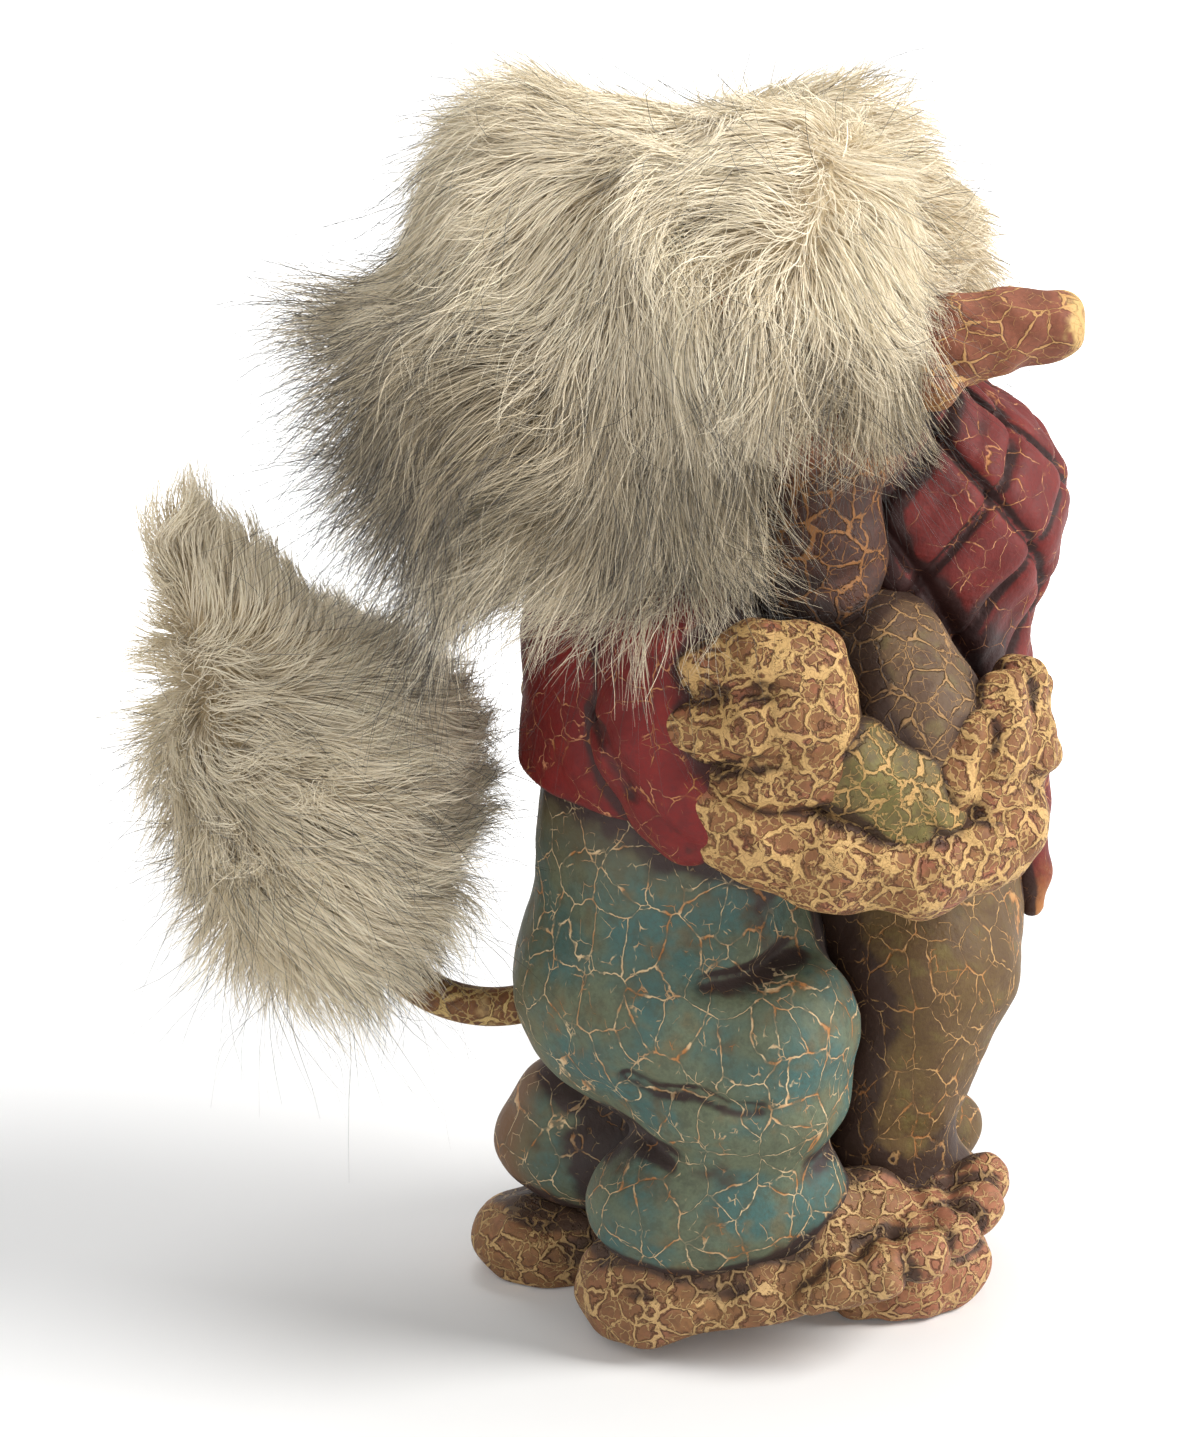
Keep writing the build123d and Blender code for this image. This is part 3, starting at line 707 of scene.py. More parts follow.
def paint(
    name, colours, crack, cell, width, coverage, dirt_and_shade_colour, dirt_and_shade_from,
    ridge=0.0, stretch=(1, 1, 1), wander=0.4, valley_shade=0.5, extra=None,
):
    """Crackled paint: patchy colours, pale cracks of some cell size in mm, and dirt mixed with painted shade
    in the creases.
    A ridge above 0 raises curled pale edges along the cracks, as on the bare skin, with painted shadow in the
    valley beside each edge."""
    colours, crack, dirt_and_shade_colour = [rgb(*colour) for colour in colours], rgb(*crack), rgb(*dirt_and_shade_colour)
    n = Nodes(name)
    place = n.place()
    stretched = n.vector("MULTIPLY", place, stretch)
    warped = stretched
    for scale, share in ((1.1, 1.0), (4.0, 0.3)):
        chance = n.noise(stretched, scale / cell, 2.0, output="Color")
        shifted = n.vector("SUBTRACT", chance, (0.5,) * 3)
        warped = n.vector("MULTIPLY_ADD", shifted, (cell * wander * share,) * 3, warped)
    cells, small = n.edges(warped, 1 / cell), n.edges(warped, 2.3 / cell)
    where, where_small = n.noise(place, 0.085), n.noise(place, 0.21, 2.0)

    # Fine pale lines, wider and closer in some places, broken off in others
    widths = n.times(n.ramp(where_small, 0.25, 0.75), width)
    line = n.fall(n.math("DIVIDE", cells, n.plus(widths, width * 0.35)), 0.35, 1.0)
    line = n.times(line, n.ramp(where, 0.62 - coverage * 0.5, 0.72 - coverage * 0.5))
    broken = n.ramp(n.noise(place, 0.5, 2.0), 0.40, 0.54)
    line = n.times(line, n.plus(n.times(broken, 0.85), 0.15))
    fine = n.fall(n.math("DIVIDE", small, width * 1.2), 0.3, 1.0)
    fine = n.times(fine, n.ramp(where_small, 0.60 - coverage * 0.3, 0.70 - coverage * 0.3))
    fine = n.times(fine, n.ramp(n.noise(place, 0.34, 2.0), 0.50, 0.60))
    cracks = n.math("MAXIMUM", line, n.times(fine, 0.75))

    # Patches of the first three colours, worn towards the fourth
    base = n.mix(n.ramp(where, 0.38, 0.62), colours[0], colours[1])
    base = n.mix(n.times(n.ramp(where_small, 0.5, 0.72), 0.8), base, colours[2])
    grain = n.noise(place, 1.6, 4.0, 0.65)
    base = n.mix(n.times(n.ramp(grain, 0.62, 0.35), 0.32), base, colours[3])
    base = n.mix(n.times(n.ramp(n.noise(place, 0.38, 4.0, 0.7), 0.50, 0.66), 0.5), base, colours[3])
    tint = n.add("ShaderNodeTexVoronoi", {"Vector": warped, "Scale": 1 / cell}, feature="F1").outputs["Color"]
    per_cell = n.add("ShaderNodeSeparateColor", {0: tint}).outputs[0]
    base = n.mix(n.times(per_cell, 0.25), base, colours[3])
    if extra:
        base = extra(n, base)
    relief = n.plus(n.times(grain, 0.10), n.times(n.noise(place, 0.5), 0.35))
    if ridge:
        patch = n.noise(place, 0.42, 3.0, 0.6)
        inner = n.ramp(cells, 0.14, 0.34)
        base = n.mix(n.times(inner, n.ramp(patch, 0.62, 0.38), 0.7), base, colours[3])
        share = n.math("DIVIDE", cells, n.plus(n.times(n.ramp(patch, 0.34, 0.68), width * 1.7), width * 0.3))
        rim = n.fall(share, 0.5, 1.0)
        small_reach = n.plus(n.times(n.ramp(patch, 0.60, 0.36), width * 1.5), width * 0.1)
        small_rim = n.fall(n.math("DIVIDE", small, small_reach), 0.4, 1.0)
        base = n.mix(n.times(small_rim, 0.5), base, crack)
        # painted shadow: the valley beside each curled rim goes dark brown, and is also pressed in as a dent
        shaded_valley = n.times(n.band(share, 1.35, 0.0, 0.5), n.ramp(where_small, 0.3, 0.6))
        base = n.mix(n.times(shaded_valley, valley_shade), base, VALLEY_SHADE_BROWN)
        base = n.mix(n.times(rim, 0.8), base, crack)
        base = n.mix(n.times(n.fall(cells, width * 0.05, width * 0.3), 0.35), base, SPLIT_BROWN)
        relief = n.plus(relief, n.times(rim, ridge))
        relief = n.plus(relief, n.times(small_rim, ridge * 0.5))
        relief = n.minus(relief, n.times(shaded_valley, ridge * 0.8))
    else:
        # painted shadow: a darker band along each pale crack line
        edge = n.fall(n.math("DIVIDE", cells, n.plus(widths, width * 0.6)), 0.6, 3.2)
        edge = n.times(edge, n.ramp(where, 0.60 - coverage * 0.5, 0.70 - coverage * 0.5))
        base = n.mix(n.times(edge, 0.35), base, colours[3])
        aged = n.mix(n.ramp(where_small, 0.42, 0.66), crack, AGED_CRACK)
        base = n.mix(n.times(cracks, 0.92), base, aged)
        lip = n.band(cells, width * 1.6, 0.0, width * 1.3)
        relief = n.minus(relief, n.times(cracks, 0.22))
        relief = n.plus(relief, n.times(n.times(lip, line), 0.25))

    # Dirt and painted shade in the creases and close under other parts, thinner over the cracks
    creased = n.add("ShaderNodeAttribute", attribute_name="cavity").outputs["Fac"]
    creased = n.plus(creased, n.times(n.minus(where_small, 0.5), 0.5))
    dirt_and_shade = n.times(n.ramp(creased, dirt_and_shade_from, dirt_and_shade_from + 0.26), 0.92)
    dirt_and_shade = n.times(dirt_and_shade, n.minus(1.0, n.times(cracks, 0.55)))
    n.set(Base_Color=n.mix(dirt_and_shade, base, dirt_and_shade_colour), Roughness=n.plus(n.times(grain, 0.2), 0.52))
    n.set(Specular_IOR_Level=0.32)
    n.bump(relief, 0.75)
    return n.owner


def zone(n, base, axis, low, high, colour, share):
    """Fades raggedly to a colour along one axis, between two places in the couple's millimetres."""
    value = n.math("DIVIDE", n.add("ShaderNodeSeparateXYZ", {0: n.on_object()}).outputs[axis], MM)
    value = n.plus(value, n.times(n.minus(n.noise(n.place(), 0.22), 0.5), 14.0))
    offset = SHIFT if axis == 0 else 0.0
    return n.mix(n.times(n.ramp(value, low + offset, high + offset), share), base, rgb(*colour))


def trousers_zones(n, base):
    """Browner at the waist and at the back, and brown on the turned-up far leg."""
    base = zone(n, base, 2, 76, 92, (92, 80, 58), 0.85)
    base = zone(n, base, 0, -34, -48, (104, 94, 64), 0.6)
    place = n.add("ShaderNodeSeparateXYZ", {0: n.on_object()})
    far = n.ramp(place.outputs[1], -6 * MM, 0.0)
    low = n.ramp(place.outputs[2], 50 * MM, 42 * MM)
    return n.mix(n.times(far, low, 0.85), base, rgb(118, 84, 58))


def nose_zones(n, base):
    """Cream at the tip, brown under the nostrils."""
    base = zone(n, base, 0, 40.5, 43.0, (206, 172, 110), 0.9)
    return zone(n, base, 2, 163, 157, (150, 104, 58), 0.85)


teal_paint = paint(
    "teal_paint", ((104, 112, 88), (68, 102, 98), (110, 100, 72), (70, 74, 60)),
    (230, 202, 158), 6.6, 0.027, 0.82, dirt_and_shade_colour=(52, 36, 36), dirt_and_shade_from=0.12, stretch=(1.0, 1.0, 0.8),
    extra=trousers_zones,
)
olive_paint = paint(
    "olive_paint", ((110, 88, 52), (96, 74, 44), (118, 104, 56), (80, 57, 38)),
    (206, 164, 108), 5.4, 0.03, 0.75, dirt_and_shade_colour=(56, 38, 32), dirt_and_shade_from=0.12, stretch=(1.0, 1.0, 0.7),
)
dark_red_paint = paint(
    "dark_red_paint", ((122, 28, 25), (104, 24, 22), (134, 40, 30), (84, 22, 22)),
    (206, 140, 100), 5.6, 0.022, 0.42, dirt_and_shade_colour=(50, 26, 24), dirt_and_shade_from=0.14,
)
red_paint = paint(
    "red_paint", ((112, 33, 28), (98, 27, 24), (128, 42, 33), (80, 26, 24)),
    (212, 150, 108), 6.4, 0.02, 0.42, dirt_and_shade_colour=(44, 26, 24), dirt_and_shade_from=0.14,
    extra=lambda n, base: zone(n, base, 2, 74, 63, (176, 120, 66), 0.9),
)
skin_paint = paint(
    "skin_paint", ((146, 102, 62), (134, 90, 56), (172, 102, 80), (118, 78, 50)),
    (214, 176, 114), 3.9, 0.085, 0.9, dirt_and_shade_colour=(58, 38, 28), dirt_and_shade_from=0.18,
    ridge=0.8, wander=0.75, valley_shade=0.7,
)
foot_paint = paint(
    "foot_paint", ((150, 108, 68), (136, 94, 62), (162, 108, 82), (112, 78, 52)),
    (214, 178, 122), 4.2, 0.055, 0.95, dirt_and_shade_colour=(70, 52, 42), dirt_and_shade_from=0.18,
    ridge=0.7, wander=0.7, valley_shade=0.6,
    extra=lambda n, base: zone(n, base, 0, 12, 24, (178, 112, 88), 0.55),
)
# The dark browns low on the head are partly the neck's wash and partly painted shade under the jaw; the face
# above fades to lighter skin.
shaded_neck_paint = paint(
    "shaded_neck_paint", ((66, 38, 28), (76, 45, 31), (94, 53, 39), (48, 28, 22)),
    (158, 108, 60), 5.4, 0.04, 0.85, ridge=0.3, dirt_and_shade_colour=(40, 26, 22), dirt_and_shade_from=0.18,
    extra=lambda n, base: zone(n, base, 2, 146, 158, (182, 116, 84), 0.9),
)
nose_paint = paint(
    "nose_paint", ((142, 84, 62), (128, 74, 54), (154, 96, 72), (106, 62, 44)),
    (212, 166, 106), 4.6, 0.026, 0.42, ridge=0.2, dirt_and_shade_colour=(92, 56, 36), dirt_and_shade_from=0.36,
    stretch=(0.8, 1.0, 1.0),
    extra=nose_zones,
)
green_sleeve_paint = paint(
    "green_sleeve_paint", ((116, 108, 58), (104, 92, 54), (134, 112, 66), (88, 72, 44)),
    (206, 164, 102), 4.8, 0.05, 0.8, dirt_and_shade_colour=(60, 42, 32), dirt_and_shade_from=0.16,
    ridge=0.4, wander=0.9, valley_shade=0.3,
)
brown_sleeve_paint = paint(
    "brown_sleeve_paint", ((106, 84, 60), (96, 74, 56), (118, 104, 66), (80, 58, 44)),
    (182, 142, 94), 4.6, 0.034, 0.7, ridge=0.3, dirt_and_shade_colour=(58, 40, 32), dirt_and_shade_from=0.14,
)
tail_paint = paint(
    "tail_paint", ((126, 82, 46), (112, 72, 42), (196, 168, 112), (78, 50, 34)),
    (208, 178, 116), 4.0, 0.06, 0.5, ridge=0.2, dirt_and_shade_colour=(60, 46, 36), dirt_and_shade_from=0.5,
)


def hair_material():
    n = Nodes("fur_hair")
    tint = n.add("ShaderNodeAttribute", attribute_name="tint").outputs["Color"]
    along = n.add("ShaderNodeAttribute", attribute_name="along").outputs["Fac"]
    n.set(Base_Color=tint, Roughness=n.plus(n.times(along, 0.12), 0.42), Specular_IOR_Level=0.35)
    n.set(Sheen_Weight=0.5, Sheen_Roughness=0.5)
    return n.owner


def felt_material():
    """The dense underfur, in combed streaks that run down."""
    n = Nodes("fur_felt")
    streaks = n.noise(n.vector("MULTIPLY", n.on_object(), (1100.0, 1100.0, 120.0)), 1.0, 4.0, 0.6)
    n.set(Base_Color=n.mix(n.ramp(streaks, 0.3, 0.7), rgb(168, 150, 120), rgb(226, 208, 174)), Roughness=0.9)
    n.bump(streaks, 0.9)
    return n.owner


def glass_material():
    n = Nodes("eye_glass")
    mottled = n.ramp(n.noise(n.on_object(), 900.0, 2.0), 0.3, 0.7)
    n.set(Base_Color=n.mix(mottled, rgb(26, 16, 10), rgb(58, 34, 18)), Roughness=0.06)
    n.set(Coat_Weight=1.0, Coat_Roughness=0.03)
    return n.owner


def steel_material():
    n = Nodes("tail_wire_steel")
    drawn = n.noise(n.on_object(), 3000.0, 2.0)
    n.set(Base_Color=n.mix(drawn, rgb(120, 118, 116), rgb(170, 168, 166)), Metallic=1.0, Roughness=0.35)
    return n.owner


fur_material, felt = hair_material(), felt_material()


# Painted pieces

LOOKS = {
    "blue_troll_trousers": (teal_paint, "blue_green_paint"),
    "olive_troll_trousers": (olive_paint, "olive_paint"),
    "blue_troll_jacket": (dark_red_paint, "dark_red_paint"),
    "olive_troll_quilted_jacket": (red_paint, "red_paint"),
}
for side in ("right", "left"):
    LOOKS[f"blue_troll_{side}_sleeve"] = (dark_red_paint, "dark_red_paint")
    LOOKS[f"blue_troll_{side}_forearm"] = (skin_paint, "tan_skin_paint")
    LOOKS[f"olive_troll_{side}_sleeve"] = (brown_sleeve_paint, "olive_paint")
    LOOKS[f"olive_troll_{side}_forearm"] = (green_sleeve_paint, "olive_paint")
for who in ("blue_troll", "olive_troll"):
    LOOKS[f"{who}_nose"] = (nose_paint, "rosy_skin_paint")
    LOOKS[f"{who}_head"] = (shaded_neck_paint, "tan_skin_paint")
    for side in ("right", "left"):
        LOOKS[f"{who}_{side}_foot"] = (foot_paint, "tan_skin_paint")
        LOOKS[f"{who}_{side}_hand"] = (skin_paint, "tan_skin_paint")

for name, (form, way, low, high, step) in FORMS.items():
    points, quads, normals = mesh_of(form, way, low, high, step)
    material, slot = LOOKS[name]
    piece = new_mesh(f"{name}_cast", points, quads, ROOT_BODY, slot, material, name)
    # the crease depth sets where each piece gets its dirt and painted shade
    attribute(piece, "cavity", cavity(points, normals))


def dress(material, *names):
    """Gives nodes that keep their CAD shapes their material."""
    for name in names:
        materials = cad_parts[name].data.materials
        materials.clear()
        materials.append(material)


dress(glass_material(), "blue_troll_eyes", "olive_troll_eyes")
dress(tail_paint, "tail_stem", "tuft_core")
dress(steel_material(), "tail_wire")


# Fur: every hair is a narrow folded ribbon that grows from the felt

HAIR_STEPS = 7
# One hair in so many leads a lock, and the others go so far of the way to it at their tips
HAIRS_PER_LOCK, LOCK_STRENGTH = 30, 0.78
# Widths at the root, the roots' depth in the felt and how far the guard hairs' tips stray, in mm
GUARD_WIDTHS, HAIR_WIDTHS, ROOT_DEPTH = (0.13, 0.21), (0.18, 0.36), 0.6
GUARD_STRAY, GUARD_RISE = 5.5, 3.5


def grow(points, flow, lengths, lift, curl, seed):
    """Paths of hairs from their roots: an array of hairs, steps and x, y, z."""
    path = np.empty((len(points), HAIR_STEPS + 1, 3))
    path[:, 0] = points
    own = np.random.default_rng(seed)
    stray = own.normal(size=points.shape)
    heading = None
    place = points.copy()
    for k in range(HAIR_STEPS):
        share = k / HAIR_STEPS
        out = everything.normal(place)
        waves = 1.2 * frizz(place, 24.0, seed + 1) + 1.25 * frizz(place, 9.0, seed + 4) * (0.4 + share)
        wish = flow(place) + curl * (waves + 0.9 * stray * (0.35 + share))
        wish -= out * np.minimum(0, (wish * out).sum(1, keepdims=True))
        gap = everything(place)[:, None]
        push = np.clip(1.2 - gap * 0.35, 0.0, 1.4) * lift
        wish = unit(unit(wish) + out * push)
        heading = unit(wish if heading is None else heading * 0.55 + wish * 0.45)
        place = place + heading * (lengths / HAIR_STEPS)[:, None]
        path[:, k + 1] = place
    return path


def clumped(path, free, seed):
    """Draws the hairs' ends towards those of leading hairs near their roots, the free ones hardly."""
    own = np.random.default_rng(seed)
    leaders = own.choice(len(path), len(path) // HAIRS_PER_LOCK, replace=False)
    tree = kdtree.KDTree(len(leaders))
    for i, leader in enumerate(leaders):
        tree.insert(path[leader, 0], i)
    tree.balance()
    chosen = np.array([leaders[tree.find(root)[1]] for root in path[:, 0]])
    share = np.linspace(0, 1, path.shape[1]) ** 1.4 * LOCK_STRENGTH
    own_strength = (own.uniform(0.2, 1.0, len(path)) * np.where(free, 0.15, 1.0))[:, None]
    weight = (share[None, :] * own_strength)[:, :, None]
    return path * (1 - weight) + path[chosen] * weight


# How far a hair may reach past the solids' box, in mm
BEYOND = np.array((13.8, 12.2, 15.2))


def held_in(path, seed):
    """Shortens the hairs that would reach too far past the solids' box."""
    own = np.random.default_rng(seed)
    reach = BEYOND * own.uniform(0.7, 1.0, (len(path), 1, 1))
    shift = np.array((SHIFT, 0, 0))
    root, step = path[:, :1], path - path[:, :1]
    low = np.array(cad_low) / MM - shift - reach
    high = np.array(cad_high) / MM - shift + reach
    room = np.where(step > 0, high - root, root - low)
    share = np.clip(room / (np.abs(step) + 1e-6), 0, 1).min(axis=(1, 2))
    return root + step * share[:, None, None]


def ribbons(name, path, widths, tints, body_name):
    """One mesh of folded ribbons, three points across, with a colour for each point along."""
    count, rings, _ = path.shape
    along = unit(np.gradient(path, axis=1), 1e-9)
    own = np.random.default_rng(len(name))
    side = own.normal(size=(count, 1, 3)) * np.ones((1, rings, 1))
    side = unit(side - along * (side * along).sum(2, keepdims=True), 1e-9)
    ridge = np.cross(along, side)
    taper = np.linspace(1.0, 0.12, rings)[None, :, None]
    half = widths[:, None, None] / 2 * taper
    rows = np.stack([path - side * half, path + ridge * half * 0.8, path + side * half], 2)
    points = rows.reshape(-1, 3)
    index = np.arange(count * rings * 3).reshape(count, rings, 3)
    near, far = index[:, :-1], index[:, 1:]
    halves = [np.stack([near[..., i], near[..., i + 1], far[..., i + 1], far[..., i]], -1) for i in (0, 1)]
    faces = np.concatenate([half_faces.reshape(-1, 4) for half_faces in halves])
    piece = new_mesh(name, points, faces, body_name, "grey_fur", fur_material)
    colour = piece.data.color_attributes.new("tint", "FLOAT_COLOR", "POINT")
    full = np.ones((count, rings, 3, 4), np.float32)
    full[..., :3] = tints[:, :, None, :]
    colour.data.foreach_set("color", full.ravel())
    steps = np.broadcast_to(np.linspace(0, 1, rings)[None, :, None], (count, rings, 3))
    attribute(piece, "along", steps.ravel())
    cells = int(math.ceil(math.sqrt(count)))
    hair = np.arange(count)
    u = ((hair % cells)[:, None, None] + 0.2 + 0.3 * np.arange(3)[None, None, :]) / cells
    v = ((hair // cells)[:, None, None] + 0.1 + 0.8 * steps[:1]) / cells
    uv = np.stack(np.broadcast_arrays(u + 0 * v, v + 0 * u), -1).reshape(-1, 2)
    loops = np.empty(len(piece.data.loops), np.int32)
    piece.data.loops.foreach_get("vertex_index", loops)
    layer = piece.data.uv_layers.new(name="OFBake")
    layer.data.foreach_set("uv", uv[loops].astype(np.float32).ravel())


UNDER = np.array(rgb(244, 228, 194)[:3])
WHITE = np.array(rgb(252, 243, 224)[:3])
GREY = np.array(rgb(192, 176, 146)[:3])
ROOTS = np.array(rgb(196, 176, 142)[:3])
GUARD = np.array(rgb(34, 29, 23)[:3])


def coloured(path, seed, guards, pale):
    """Colours along the hairs: darker roots, cream or grey lengths, and some dark guard hairs."""
    own = np.random.default_rng(seed)
    count, rings, _ = path.shape
    t = np.linspace(0, 1, rings)[None, :, None]
    patch = np.clip(frizz(path[:, 0], 26.0, seed + 5)[:, :1] * 0.5 + 0.5, 0, 1)
    light = np.clip(pale(path[:, 0])[:, None] + (patch - 0.5) * 0.5 + own.normal(size=(count, 1)) * 0.2, 0, 1)
    length_colour = GREY * (1 - light) + (UNDER * 0.5 + WHITE * 0.5) * light
    length_colour = length_colour * own.uniform(0.90, 1.12, (count, 1))
    root_colour = length_colour * 0.7 + ROOTS * 0.3
    past_root = np.clip(t * 2.2, 0, 1)
    tints = root_colour[:, None] * (1 - past_root) + length_colour[:, None] * past_root
    dark = GUARD * own.uniform(0.7, 1.6, (count, 1))
    fade = np.clip(t * 2.5 - 0.5, 0, 1)
    tints[guards] = (tints * (1 - fade) + dark[:, None] * fade)[guards]
    return np.clip(tints, 0, 1)


def scatter(points, quads, normals, count, seed):
    """Chance places spread evenly over a surface."""
    own = np.random.default_rng(seed)
    corners = points[quads]
    area = np.linalg.norm(np.cross(corners[:, 2] - corners[:, 0], corners[:, 3] - corners[:, 1]), axis=1)
    chosen = own.choice(len(quads), count, p=area / area.sum())
    a, b = own.random((2, count, 1))
    c = corners[chosen]
    places = (c[:, 0] * (1 - a) + c[:, 1] * a) * (1 - b) + (c[:, 3] * (1 - a) + c[:, 2] * a) * b
    return places, normals[quads[chosen, 0]]


def fur(name, node, body_name, flow, count, length, lift, curl, guard_share, pale, seed, pieces):
    """A felt with loose hairs: longer dark guard hairs that stray, among softer pale ones."""
    form, way, low, high, step = FUR_FORMS[node]
    points, quads, normals = mesh_of(form, way, low, high, step)
    new_mesh(f"{name}_felt", points, quads, body_name, "grey_fur", felt, node)
    roots, out = scatter(points, quads, normals, count, seed)
    own = np.random.default_rng(seed + 7)
    guards = own.random(count) < guard_share(roots)
    lengths = length(roots) * own.uniform(0.62, 1.1, count) * np.where(guards, 1.25, 1.0)
    path = grow(roots - out * ROOT_DEPTH, flow, lengths, lift, curl, seed)
    path = clumped(path, guards, seed + 2)
    tints = coloured(path, seed + 3, guards, pale)
    widths = np.where(guards, own.uniform(*GUARD_WIDTHS, count), own.uniform(*HAIR_WIDTHS, count))
    stray = guards[:, None, None] * np.linspace(0, 1, path.shape[1])[None, :, None] ** 2
    path = path + stray * (own.normal(size=(count, 1, 3)) * GUARD_STRAY + out[:, None] * GUARD_RISE)
    path = held_in(path, seed + 9)
    for part in range(pieces):
        chosen = slice(part, count, pieces)
        ribbons(f"{name}_{part + 1}", path[chosen], widths[chosen], tints[chosen], body_name)


def blend(value, low, high):
    """0 at low and 1 at high, smoothly."""
    t = np.clip((value - low) / (high - low), 0, 1)
    return t * t * (3 - 2 * t)


def ways(p, x, y, z):
    """A direction for each of the places, from numbers or arrays."""
    return np.stack([part * np.ones(len(p)) for part in (x, y, z)], 1)


def blue_flow(p):
    """Back over the crown, then down and back, straight down in the middle, down and forward in front."""
    back = 1 - blend(p[:, 0], -52, 2)
    top = blend(p[:, 2], 184, 196)[:, None]
    front = blend(p[:, 0], -2, 12)[:, None] * top
    down = ways(p, -0.75 * back + 0.10 * (1 - back), -0.08, -1.0)
    over = ways(p, -1.0, -0.35, -0.15 - 0.5 * back)
    forward = ways(p, 0.8, -0.5, -0.6)
    return down * (1 - top) + (over * (1 - front) + forward * front) * top


def olive_flow(p):
    """Down the back of the far head, and from its crown towards that back."""
    top = blend(p[:, 2], 186, 198)[:, None]
    return ways(p, 0.25, 0.1, -1.0) * (1 - top) + ways(p, 0.8, -0.15, -0.1) * top


def tuft_flow(p):
    """Outwards and round the tail, drooping at the bottom and gathered to a point at the top."""
    middle_x = -73.0 - 0.27 * (p[:, 2] - 62)
    around = unit(ways(p, p[:, 0] - middle_x, p[:, 1] + 8, 0.0))
    tangent = ways(p, -around[:, 1], around[:, 0], 0.0)
    high = blend(p[:, 2], 112, 132)[:, None]
    low = 1 - blend(p[:, 2], 60, 86)[:, None]
    up, down = np.array((-0.35, 0.0, 1.0)), np.array((0.0, 0.0, -1.0))
    round_it = around * (0.35 - 0.9 * high) + tangent * (1.0 - 0.5 * high)
    return round_it + down * 0.2 * (1 - high) + up * high * 1.5 + down * 0.9 * low


fur(
    "blue_troll_fur", "blue_troll_wig", ROOT_BODY, blue_flow, 34000,
    length=lambda p: (
        32.0 - 5.0 * blend(p[:, 2], 138, 158) - 6.0 * blend(p[:, 2], 176, 196) - 7.0 * blend(p[:, 0], -10, 4)
    ),
    lift=0.36, curl=0.5,
    guard_share=lambda p: (
        0.05 + 0.2 * (1 - blend(p[:, 0], -58, -34))
        + 0.2 * (1 - blend(p[:, 2], 158, 190)) * (0.4 + 0.6 * blend(p[:, 2], 132, 160))
    ),
    pale=lambda p: 0.12 + 1.1 * blend(p[:, 2], 168, 190) + 0.75 * (1 - blend(p[:, 2], 138, 162)),
    seed=40, pieces=5,
)
fur(
    "olive_troll_fur", "olive_troll_wig", ROOT_BODY, olive_flow, 11000,
    length=lambda p: 22.0 - 6.0 * blend(p[:, 2], 178, 196) - 11.0 * blend(p[:, 0], 9, 23),
    lift=0.4, curl=0.4,
    guard_share=lambda p: 0.06 + 0.1 * (1 - blend(p[:, 2], 150, 176)),
    pale=lambda p: 0.75 + 0.3 * blend(p[:, 2], 168, 194), seed=60, pieces=2,
)
fur(
    "tail_fur", "tail_tuft", TUFT_BODY, tuft_flow, 20000,
    length=lambda p: 19.0 - 7.0 * blend(p[:, 2], 104, 122) + 5.0 * blend(p[:, 2], 124, 134),
    lift=0.4, curl=0.4,
    guard_share=lambda p: 0.03 + 0.10 * (1 - blend(p[:, 2], 88, 110)),
    pale=lambda p: 1.15 + 0.4 * blend(p[:, 2], 88, 110), seed=80, pieces=3,
)


# Floor, light and camera

FLOOR_REACH, WORLD_LIGHT = 12.0, 0.38
# The photograph's view: straight at the side of the couple and a little down
CAMERA_DOWN, CAMERA_DISTANCE = math.radians(19), 0.85
CAMERA_AIM = Vector((0.0006, 0.0, 0.0996))


def outright(n):
    """1 for rays straight from the camera, mirrored or through glass, 0 for the others."""
    path = n.add("ShaderNodeLightPath").outputs
    seen = n.math("MAXIMUM", path["Is Camera Ray"], path["Is Glossy Ray"])
    return n.math("MAXIMUM", seen, path["Is Transmission Ray"])


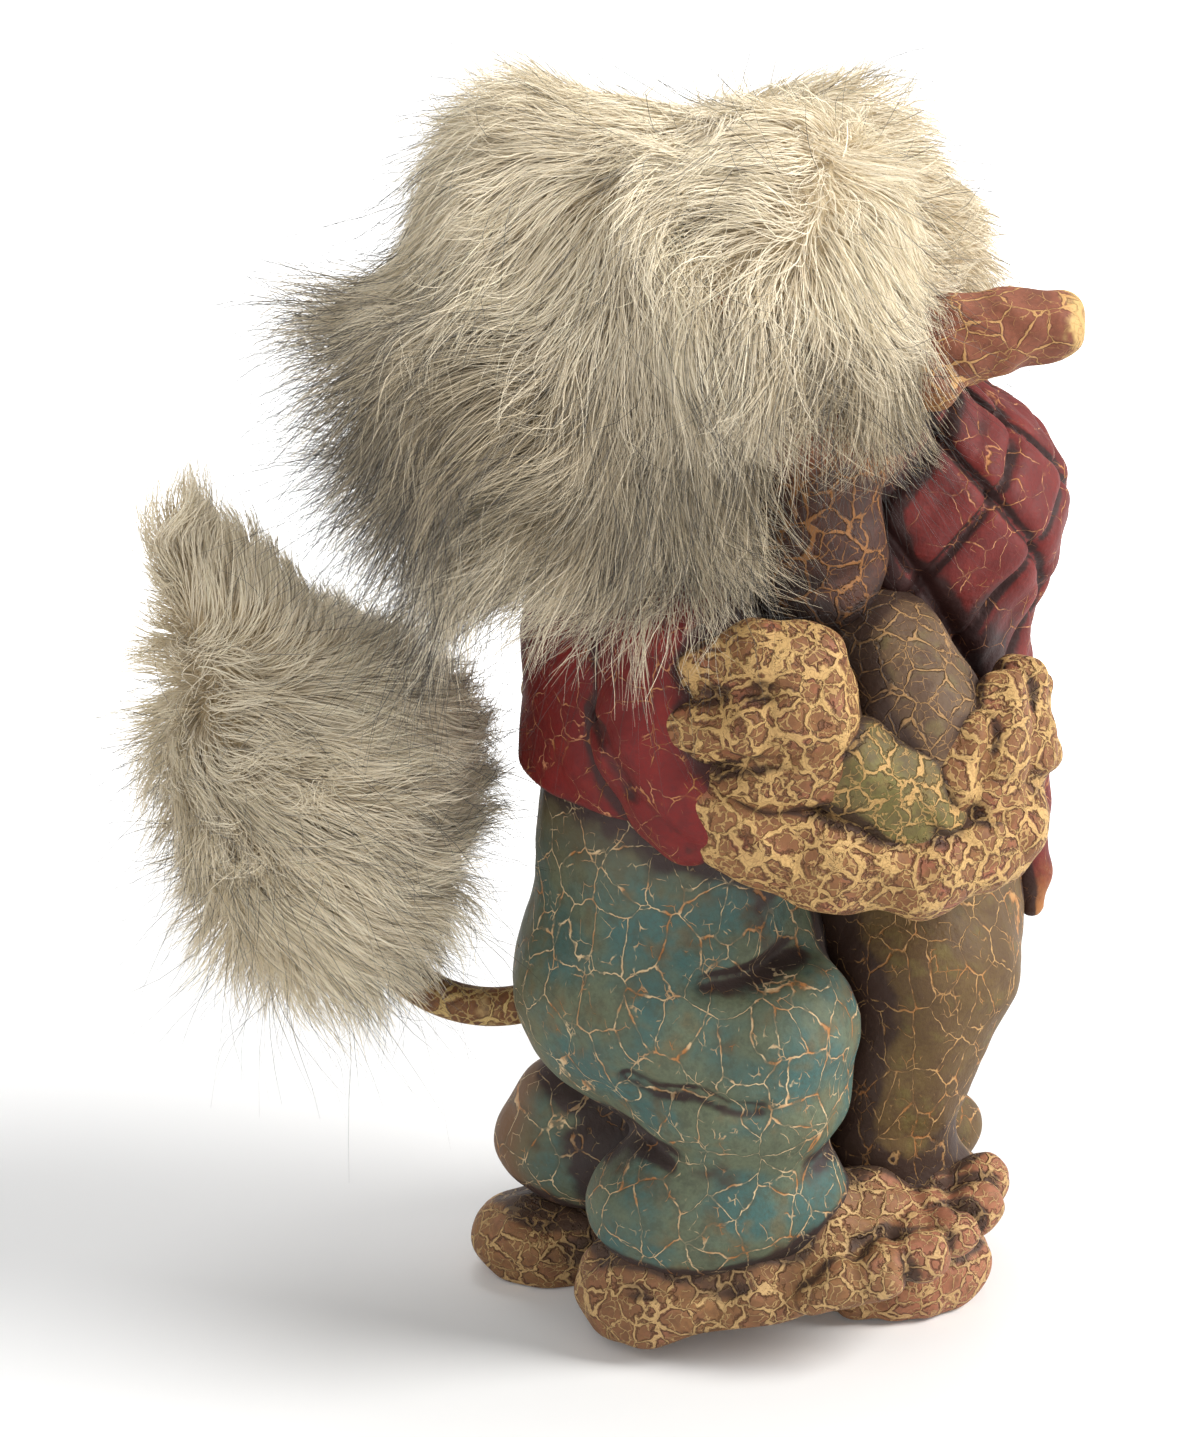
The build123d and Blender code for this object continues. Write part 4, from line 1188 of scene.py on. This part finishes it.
def make_floor():
    n = Nodes("pale_floor")
    # it glows to pure white away from the middle, as the photograph's ground does
    away = n.add("ShaderNodeVectorMath", {0: n.on_object()}, operation="LENGTH").outputs["Value"]
    glow = n.times(outright(n), n.plus(n.times(n.ramp(away, 0.10, 0.38), 0.95), 0.05))
    n.set(Base_Color=(0.9, 0.9, 0.9, 1.0), Roughness=1.0, Specular_IOR_Level=0.0)
    n.set(Emission_Color=(1, 1, 1, 1), Emission_Strength=glow)
    mesh = bpy.data.meshes.new("floor")
    corners = [(x * FLOOR_REACH, y * FLOOR_REACH, 0) for x, y in ((-1, -1), (1, -1), (1, 1), (-1, 1))]
    mesh.from_pydata(corners, [], [(0, 1, 2, 3)])
    mesh.materials.append(n.owner)
    floor = bpy.data.objects.new("floor", mesh)
    bpy.context.scene.collection.objects.link(floor)
    floor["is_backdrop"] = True


def aimed(thing, place, target):
    """Puts a lamp or camera at a place, looking at a target."""
    thing.location = place
    thing.rotation_mode = "QUATERNION"
    thing.rotation_quaternion = (Vector(target) - Vector(place)).to_track_quat("-Z", "Y")
    bpy.context.scene.collection.objects.link(thing)


def lamp(name, place, target, size, power, colour=(1, 1, 1)):
    data = bpy.data.lights.new(name, "AREA")
    data.shape = "DISK"
    data.size = size
    data.energy = power
    data.color = colour
    aimed(bpy.data.objects.new(name, data), place, target)


def make_world():
    """Soft white light from all sides, behind a background that shows pure white."""
    n = Nodes("studio", bpy.data.worlds, "Background")
    strength = n.add("ShaderNodeMapRange", {0: outright(n), 3: WORLD_LIGHT, 4: 1.0}).outputs[0]
    n.set(Color=(1, 1, 1, 1), Strength=strength)
    bpy.context.scene.world = n.owner


def make_camera():
    data = bpy.data.cameras.new("camera")
    data.sensor_fit = "HORIZONTAL"
    data.sensor_width = 36.0
    data.lens = 160.0
    data.clip_start, data.clip_end = 0.05, 60.0
    camera = bpy.data.objects.new("camera", data)
    back = Vector((0, -math.cos(CAMERA_DOWN), math.sin(CAMERA_DOWN)))
    aimed(camera, CAMERA_AIM + back * CAMERA_DISTANCE, CAMERA_AIM)
    bpy.context.scene.camera = camera


make_floor()
make_world()
lamp("key", (0.95, -0.18, 0.72), (0, 0, 0.08), 0.55, 15.0, (1.0, 0.99, 0.97))
lamp("fill", (-0.4, -1.15, 0.75), (0, 0, 0.1), 1.2, 5.0)
lamp("top", (-0.1, 0.3, 1.3), (0, 0, 0.1), 0.8, 5.5)
make_camera()
bpy.context.scene.view_settings.view_transform = "Standard"

low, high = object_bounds()
